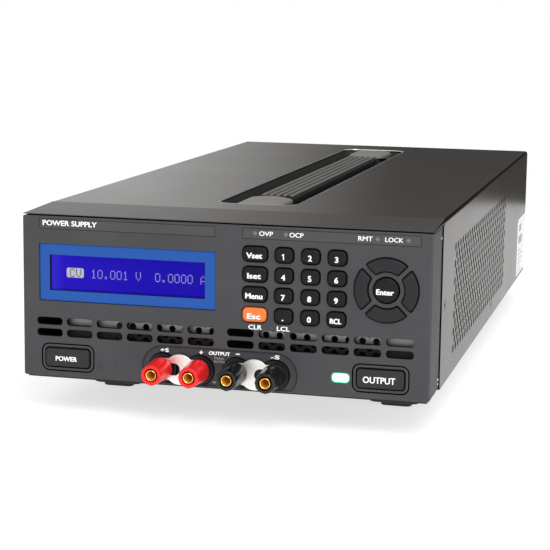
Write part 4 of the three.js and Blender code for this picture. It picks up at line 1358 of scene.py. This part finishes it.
def feet():
    """Four moulded feet with rubber pads."""
    for end in ("front", "rear"):
        for side_name, side in (("left", -1), ("right", 1)):
            node = f"foot_{end}_{side_name}"
            low, high = node_box(node)
            middle = (low[1] + high[1]) / 2
            long = high[1] - low[1]
            loops = []
            for z, inner, outer, inset, corner in FOOT_LEVELS:
                centre, wide = side * (inner + outer) / 2, outer - inner
                plan = rounded(centre, middle, wide, long - 2 * inset, corner)
                loops.append([(x, y, z) for x, y in plan])
            shape = Shape()
            shape.loft(loops, start=True, end=True)
            piece(f"{node}_block", shape, "case", "foot", RUBBER, replaced=(node,))


# ---- Carrying strap ---------------------------------------------------------------------------
STRAP_HALF, STRAP_LOW, STRAP_HIGH, STRAP_VALLEY = 10.6, 80.7, 88.0, 86.1
STRAP_EDGE = ((-0.25, 86.0), (0, 85.3), (0, 82.2), (-0.5, 81.2), (-1.5, 80.75))
RIDGE_PITCH, RIDGES = 4.0, 5
PIVOTS = (110, 152, 317, 359)
GRIP_MIDDLE = (PIVOTS[1] + PIVOTS[2]) / 2


def strap_section(shrink=0.0):
    """Section of the strap in x and z: round ridges along its top, rounded lower edges."""
    half = STRAP_HALF - shrink
    points = []
    ridge_half = RIDGE_PITCH * RIDGES / 2
    steps = 10 * RIDGES
    for i in range(steps + 1):
        x = ridge_half - 2 * ridge_half * i / steps
        wave = 0.5 + 0.5 * math.cos(2 * math.pi * x / RIDGE_PITCH)
        rise = (STRAP_HIGH - STRAP_VALLEY) * wave ** 0.5 * (1 - shrink / 2)
        points.append((x * half / STRAP_HALF, STRAP_VALLEY + rise - shrink * 0.6))
    points += [(-(half + x), z) for x, z in STRAP_EDGE]
    points += [(half + x, z) for x, z in reversed(STRAP_EDGE)]
    return points


def tongue_section(y):
    """Section of the plain end that runs in under a cap."""
    plan = rounded(0, STRAP_LOW + 1.85, 18, 3.6, 0.7, 3)
    return [(x, y, z) for x, z in plan]


def strap_half(name, tip, mouth, nodes):
    """Half of the strap, from its tongue under a cap to the middle of the grip."""
    away = math.copysign(1, GRIP_MIDDLE - tip)
    shape = Shape()
    stations = [mouth + away * s for s in (0, 0.5, 1.5)]
    spacing = 3.0
    count = int(abs(GRIP_MIDDLE - stations[-1]) / spacing)
    last = stations[-1]
    stations += [last + (GRIP_MIDDLE - last) * (i + 1) / count for i in range(count)]
    shrinks = [1.2, 0.35, 0.0] + [0.0] * count
    loops = [
        [(x, y, z) for x, z in strap_section(shrink)] for y, shrink in zip(stations, shrinks)
    ]
    # Faces lying wholly below this height, the grooves between the ridges and the strap's sides, take
    # painted shadow.
    shadow_top = STRAP_VALLEY + 0.72 * (STRAP_HIGH - STRAP_VALLEY)

    def painted_shadow_faces(level, column):
        corners = [loops[a][b % len(loops[0])] for a in (level, level + 1) for b in (column, column + 1)]
        return max(z for _, _, z in corners) < shadow_top

    shape.loft_shaded(loops, painted_shadow_faces)
    for y, loop in ((stations[0], loops[0]), (stations[-1], loops[-1])):
        shape.fill([(x, z) for x, _, z in loop], [], front_facing(y))
    inner = mouth + away * 1.0
    reach = 8
    tongue = [tongue_section(tip + (inner - tip) * i / reach) for i in range(reach + 1)]
    shape.loft(tongue, start=True, end=True)
    made = piece(name, shape, None, "strap", STRAP, STRAP_SHADOW, replaced=nodes, sharp=50)
    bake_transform(made)


CAP_HALF, CAP_LONG, CAP_BULGE, CAP_NOTCH, CAP_CORNER, CAP_WALL = 12.6, 42.0, 9.0, 2.4, 5, 1.2
CAP_TOP, CAP_CEILING, BOSS_LOW = 89.0, 85.2, 62.6
CAP_DOME = ((0.985, 86.5), (0.95, 87.05), (0.88, 87.6), (0.75, 88.15), (0.55, 88.6), (0.3, 88.9))


def cap_outline(edge, back, away):
    """A cap from above, counter-clockwise: round mouth, two rounded corners and a notch."""
    steps, notch_steps = 16, 12
    outline = []
    for i in range(steps + 1):
        u = 1 - 2 * i / steps
        outline.append((u * CAP_HALF, edge + away * CAP_BULGE * u * u))
    corner = [
        (CAP_HALF - CAP_CORNER * (1 - math.cos(turn)), back - away * CAP_CORNER * (1 - math.sin(turn)))
        for turn in quarter_turns(4)
    ]
    outline += [(-x, y) for x, y in corner]
    straight = CAP_HALF - CAP_CORNER
    for i in range(1, notch_steps):
        x = -straight + 2 * straight * i / notch_steps
        outline.append((x, back - away * CAP_NOTCH * math.exp(-(x / 3.2) ** 2)))
    outline += reversed(corner)
    if away > 0:
        outline = [(-x, y) for x, y in outline]
    area = sum(a[0] * b[1] - b[0] * a[1] for a, b in zip(outline, outline[1:] + outline[:1]))
    return outline[::-1] if area < 0 else outline


def strap_cap(name, edge, away):
    """Domed cap over a strap's end, with a round mouth and a notch in its outer edge."""
    back = edge + away * CAP_LONG
    outline = cap_outline(edge, back, away)
    inner = grown(outline, -CAP_WALL)
    middle = (edge + back) / 2
    open_from = edge + away * (CAP_BULGE + 1)

    def skirt(ring):
        """The ring's lower edge, which rises where the strap comes out."""
        return [(x, y, 81.6 if (y - open_from) * away > 0 else 85.3) for x, y in ring]

    shape = Shape()
    loops = [skirt(outline), *placed(outline, top_facing, 85.8)]
    for share, z in CAP_DOME:
        loops.append([(x * share, middle + (y - middle) * share, z) for x, y in outline])
    shape.loft(loops)
    shape.fan(loops[-1], (0, middle, CAP_TOP))
    shape.loft([skirt(outline), skirt(inner), *placed(inner, top_facing, CAP_CEILING)])
    shape.fill(inner, [], top_facing(CAP_CEILING))
    boss = rounded(0, back - away * 16, 18, 22, 2.5)
    shape.loft(placed(boss, top_facing, BOSS_LOW, CAP_CEILING), start=True)
    piece(f"{name}_dome", shape, "case", "strap_cap", STRAP_END, replaced=(name,))


# ---- Rear -------------------------------------------------------------------------------------
FAN_X, FAN_Z = -62, 45
INLET_X, INLET_Z = 76, 30


def sector(x, z, inner, outer, start, end, steps=8):
    """One slot of the fan's grille, between two arcs, with rounded corners."""
    angles = [start + (end - start) * i / steps for i in range(steps + 1)]
    points = [(x + outer * math.cos(t), z + outer * math.sin(t)) for t in angles]
    points += [(x + inner * math.cos(t), z + inner * math.sin(t)) for t in reversed(angles)]
    return rounded_corners(points, (0, steps, steps + 1, 2 * steps + 1), 0.5, 2)


def rear_panel():
    """Plate with the fan's grille and cut-outs, its screws and its captions."""
    low, high = node_box("rear_panel")
    outline = frame_outline(low[0], high[0], low[2], high[2], 2.4)
    holes = []
    for inner in (5.0, 9.6, 14.2, 18.8, 23.4):
        spoke = 1.1 / (inner + 1.6)
        for quarter in range(4):
            start = quarter * QUARTER + QUARTER / 2 + spoke
            holes.append(sector(FAN_X, FAN_Z, inner, inner + 3.4, start, start + QUARTER - 2 * spoke))
    holes.append(rounded(INLET_X, INLET_Z, 28.2, 20.8, 2.4))
    holes.append(frame_outline(-20.4, 26.4, 16.6, 29.4, 0.6))
    shape = Shape()
    for y in (low[1], high[1]):
        shape.fill(outline, holes, front_facing(y))
    for ring in [outline, *holes]:
        shape.loft(placed(ring, front_facing, low[1], high[1]))
    piece("rear_plate", shape, "case", "rear_paint", PAINT, replaced=("rear_panel",), sharp=30)
    face = high[1]
    screws = Shape()
    spots = [(FAN_X + a * 25, FAN_Z + b * 25, 2.9) for a in (-1, 1) for b in (-1, 1)]
    spots += [(a * 98, z, 2.7) for a in (-1, 1) for z in (10, 76)] + [(0, 76, 2.7), (5, 8, 2.7)]
    for x, z, radius in spots:
        screws.turned(((0, face), (radius, face), (radius, face + 0.7), (radius * 0.75, face + 1.3)),
                      x, z, 24)
        screw(screws, lambda a, b, d: (x + a, face + 1.35 - d, z + b), radius * 0.75, 0.8)
    piece("rear_screws", screws, "case", "steel", SCREW)
    captions = Shape()
    for label, x, z, tall, wide in (
        ("AC INPUT", INLET_X, 46.5, 2.6, 17), ("FAN", FAN_X, 80.2, 2.4, 7.6),
        ("OUTPUT  +  -  SENSE", 3, 35.5, 2.4, 40),
    ):
        letters = Shape()
        lettering(letters, label, 0, z, tall, wide, raised=0.06)
        captions.add([(x - a, face - y, b) for a, y, b in letters.points], letters.faces)
    piece("rear_captions", captions, "case", "rear_paint", GLOWING_INK)


def mains_inlet():
    """Flanged inlet with three blades and two screws."""
    low, high = node_box("mains_inlet")
    face = high[1]
    body = rounded(INLET_X, INLET_Z, 27.4, 20, 2.5)
    flange = rounded(INLET_X, INLET_Z, 48, 22.5, 6, 8)
    opening = [
        (INLET_X + a, INLET_Z + b) for a, b in
        ((12.1, -8.3), (12.1, 3.6), (7.4, 8.3), (-7.4, 8.3), (-12.1, 3.6), (-12.1, -8.3))
    ]
    opening = rounded_corners(opening, range(6), 1.6, 4)
    shape = Shape()
    seat = face - 3
    shape.loft(rings(flange, ((0, seat), (0, face - 0.5), (-0.15, face - 0.15), (-0.5, face))))
    shape.fill(grown(flange, -0.5), [opening], front_facing(face))
    shape.fill(flange, [body], front_facing(seat))
    shape.loft(rings(body, ((0, seat), (0, low[1]))), end=True)
    floor = face - 16.5
    shape.loft(rings(opening, ((0, face), (-0.3, face - 0.3), (-0.3, floor))))
    shape.fill(grown(opening, -0.3), [], front_facing(floor))
    piece("inlet_body", shape, "case", "inlet", DARK, replaced=("mains_inlet",))
    pins = Shape()
    for dx, dz in ((-7, -1.8), (7, -1.8), (0, 2.6)):
        blade = rounded(INLET_X + dx, INLET_Z + dz, 2, 4, 0.4, 2)
        tip = face - 5.6
        pins.loft(rings(blade, ((0, floor), (0, tip - 0.8), (-0.4, tip))), start=True, end=True)
    for side in (-1, 1):
        x = INLET_X + side * 20
        pins.turned(((0, face), (2.6, face), (2.6, face + 0.4), (1.9, face + 0.9)), x, INLET_Z, 24)
        screw(pins, lambda a, b, d: (x + a, face + 0.95 - d, INLET_Z + b), 1.9, 0.6)
    piece("inlet_pins", pins, "case", "inlet", NICKEL)


def rear_terminals():
    """Row of screw terminals between plastic walls."""
    low, high = node_box("rear_terminals")
    shape = Shape()
    screws = Shape()
    cells = 6
    pitch = (high[0] - low[0] - 2) / cells
    front, back = node_box("rear_panel")[1][1] + 0.3, high[1]
    neck = frame_outline(low[0] + 2, high[0] - 2, low[2] + 2, high[2] - 2, 0.5)
    shape.loft(rings(neck, ((0, low[1]), (0, front + 1))), start=True, end=True)
    plate = frame_outline(low[0], high[0], low[2], high[2], 0.6)
    shape.loft(rings(plate, ((0, front), (0, front + 3.6), (-0.3, front + 4))), start=True, end=True)
    sill = frame_outline(low[0], high[0], low[2], low[2] + 5, 0.6)
    shape.loft(rings(sill, ((0, front + 3), (0, back - 0.4), (-0.3, back))), start=True, end=True)
    for i in range(cells + 1):
        left = low[0] + 0.4 + i * pitch if i else low[0]
        right = low[0] + 1.6 + i * pitch if i < cells else high[0]
        wall = frame_outline(left, right, low[2] + 1, high[2], 0.3, 3)
        shape.loft(rings(wall, ((0, front + 3), (0, back - 0.5), (-0.2, back))), start=True, end=True)
    for i in range(cells):
        x = low[0] + 1.6 + (i + 0.5) * pitch - 0.6
        z, y = low[2] + 5, (front + 4 + back) / 2
        clamp = [(x - 3.1, y - 2.6), (x + 3.1, y - 2.6), (x + 3.1, y + 2.9), (x - 3.1, y + 2.9)]
        screws.loft(placed(clamp, top_facing, z, z + 0.8), start=True, end=True)
        screw(screws, lambda a, b, d: (x + a, y + b, z + 2.4 - d), 2.5, 0.8)
    piece("terminal_block", shape, "case", "post_black", DARK, replaced=("rear_terminals",))
    piece("terminal_screws", screws, "case", "nickel", NICKEL)


def dress(node, used):
    """Gives a CAD node a finished material."""
    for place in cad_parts[node].material_slots:
        place.material = used


# ---- Studio -----------------------------------------------------------------------------------
def area_light(name, place, aim, size, watts):
    """A soft rectangular lamp that the camera does not see."""
    data = bpy.data.lights.new(name, "AREA")
    data.shape = "RECTANGLE"
    data.size, data.size_y = size
    data.energy = watts
    light = bpy.data.objects.new(name, data)
    light.location = place
    light.rotation_euler = (Vector(aim) - Vector(place)).to_track_quat("-Z", "Y").to_euler()
    light.visible_camera = False
    bpy.context.scene.collection.objects.link(light)


# Each side of the room: where along its axis it starts and ends to fade, and the brightness there.
ROOM_OVERHEAD = (0.075, 0.6, 0.03, 0.74)
ROOM_FRONT = (0.35, -0.1, 0.0, 0.72)
ROOM_LEFT = (-0.15, -0.36, 0.0, 1.15)
ROOM_LEFT_TOP = (0.17, 0.29, 1.0, 0.1)


def studio_world():
    """Bright room, dark low down behind the object; the camera itself sees plain white."""
    world = bpy.data.worlds.new("studio")
    world.use_nodes = True
    tree = world.node_tree

    def node(kind, **values):
        made = tree.nodes.new(kind)
        for key, value in values.items():
            setattr(made, key, value)
        return made

    split = node("ShaderNodeSeparateXYZ")
    tree.links.new(node("ShaderNodeTexCoord").outputs["Generated"], split.inputs[0])

    def fade(axis, start, end, low, high):
        made = node("ShaderNodeMapRange", interpolation_type="SMOOTHSTEP")
        tree.links.new(split.outputs[axis], made.inputs["Value"])
        for socket, value in zip(("From Min", "From Max", "To Min", "To Max"),
                                 (start, end, low, high)):
            made.inputs[socket].default_value = value
        return made.outputs[0]

    def both(operation, first, second):
        made = node("ShaderNodeMath", operation=operation)
        tree.links.new(first, made.inputs[0])
        tree.links.new(second, made.inputs[1])
        return made.outputs[0]

    overhead = fade("Z", *ROOM_OVERHEAD)
    front = fade("Y", *ROOM_FRONT)
    left = both("MULTIPLY", fade("X", *ROOM_LEFT), fade("Z", *ROOM_LEFT_TOP))
    strength = both("MAXIMUM", both("MAXIMUM", overhead, front), left)
    room = tree.nodes["Background"]
    room.inputs["Color"].default_value = (1, 1, 1, 1)
    tree.links.new(strength, room.inputs["Strength"])
    seen = node("ShaderNodeBackground")
    seen.inputs["Color"].default_value = (1, 1, 1, 1)
    mix = node("ShaderNodeMixShader")
    tree.links.new(node("ShaderNodeLightPath").outputs["Is Camera Ray"], mix.inputs["Fac"])
    tree.links.new(room.outputs[0], mix.inputs[1])
    tree.links.new(seen.outputs[0], mix.inputs[2])
    tree.links.new(mix.outputs[0], tree.nodes["World Output"].inputs["Surface"])
    bpy.context.scene.world = world


FLOOR_REACH, FLOOR_MIDDLE = (2.6, 2.2, 1), (0, -1.43, 0)


def studio():
    """Plain soft light on a pale floor."""
    bpy.context.scene.view_settings.view_transform = "Standard"
    studio_world()
    area_light("key_light", (0.55, -1.2, 1.4), (0, 0, 0.05), (1.2, 1.2), 18)
    area_light("side_light", (1.5, -0.6, 0.45), (0.1, 0, 0.05), (0.9, 0.7), 7)
    floor_grid = bmesh.new()
    bmesh.ops.create_grid(floor_grid, x_segments=8, y_segments=8, size=1)
    bmesh.ops.scale(floor_grid, vec=FLOOR_REACH, verts=floor_grid.verts)
    bmesh.ops.translate(floor_grid, vec=FLOOR_MIDDLE, verts=floor_grid.verts)
    mesh = bpy.data.meshes.new("floor")
    floor_grid.to_mesh(mesh)
    floor_grid.free()
    floor = bpy.data.objects.new("floor", mesh)
    mesh.materials.append(
        Look("studio_floor", (0.5, 0.5, 0.5), 0.8).mottle(400, 0.01).glow((1, 1, 1), 0.66).material
    )
    bpy.context.scene.collection.objects.link(floor)


# ---- Assembly ---------------------------------------------------------------------------------
front_bezel()
brow_sheet()
bezel_snaps()
strip_labels()
front_legends()
keypad()
push_buttons()
display()
post_caps()
post_studs()
shorting_links()
top_cover()
case_screws()
side_label()
recess_rim()
handle_tray()
chassis_tray()
front_screen()
feet()
strap_half("carry_strap_front", PIVOTS[0] - 12, PIVOTS[0] + 1.5,
           ("strap_front", "strap_grip"))
strap_half("carry_strap_rear", PIVOTS[3] + 12, PIVOTS[3] - 1.5,
           ("strap_rear",))
strap_cap("strap_cap_front", 108, -1)
strap_cap("strap_cap_rear", 361, 1)
rear_panel()
mains_inlet()
rear_terminals()
for inner_node, finish in (
    ("fan_frame", DARK), ("fan_rotor", DARK), ("front_board", BOARD), ("keypad_mat", DARK),
    ("main_board", BOARD), ("transformer", COIL), ("heat_sink", ALUMINIUM),
):
    dress(inner_node, finish)
studio()
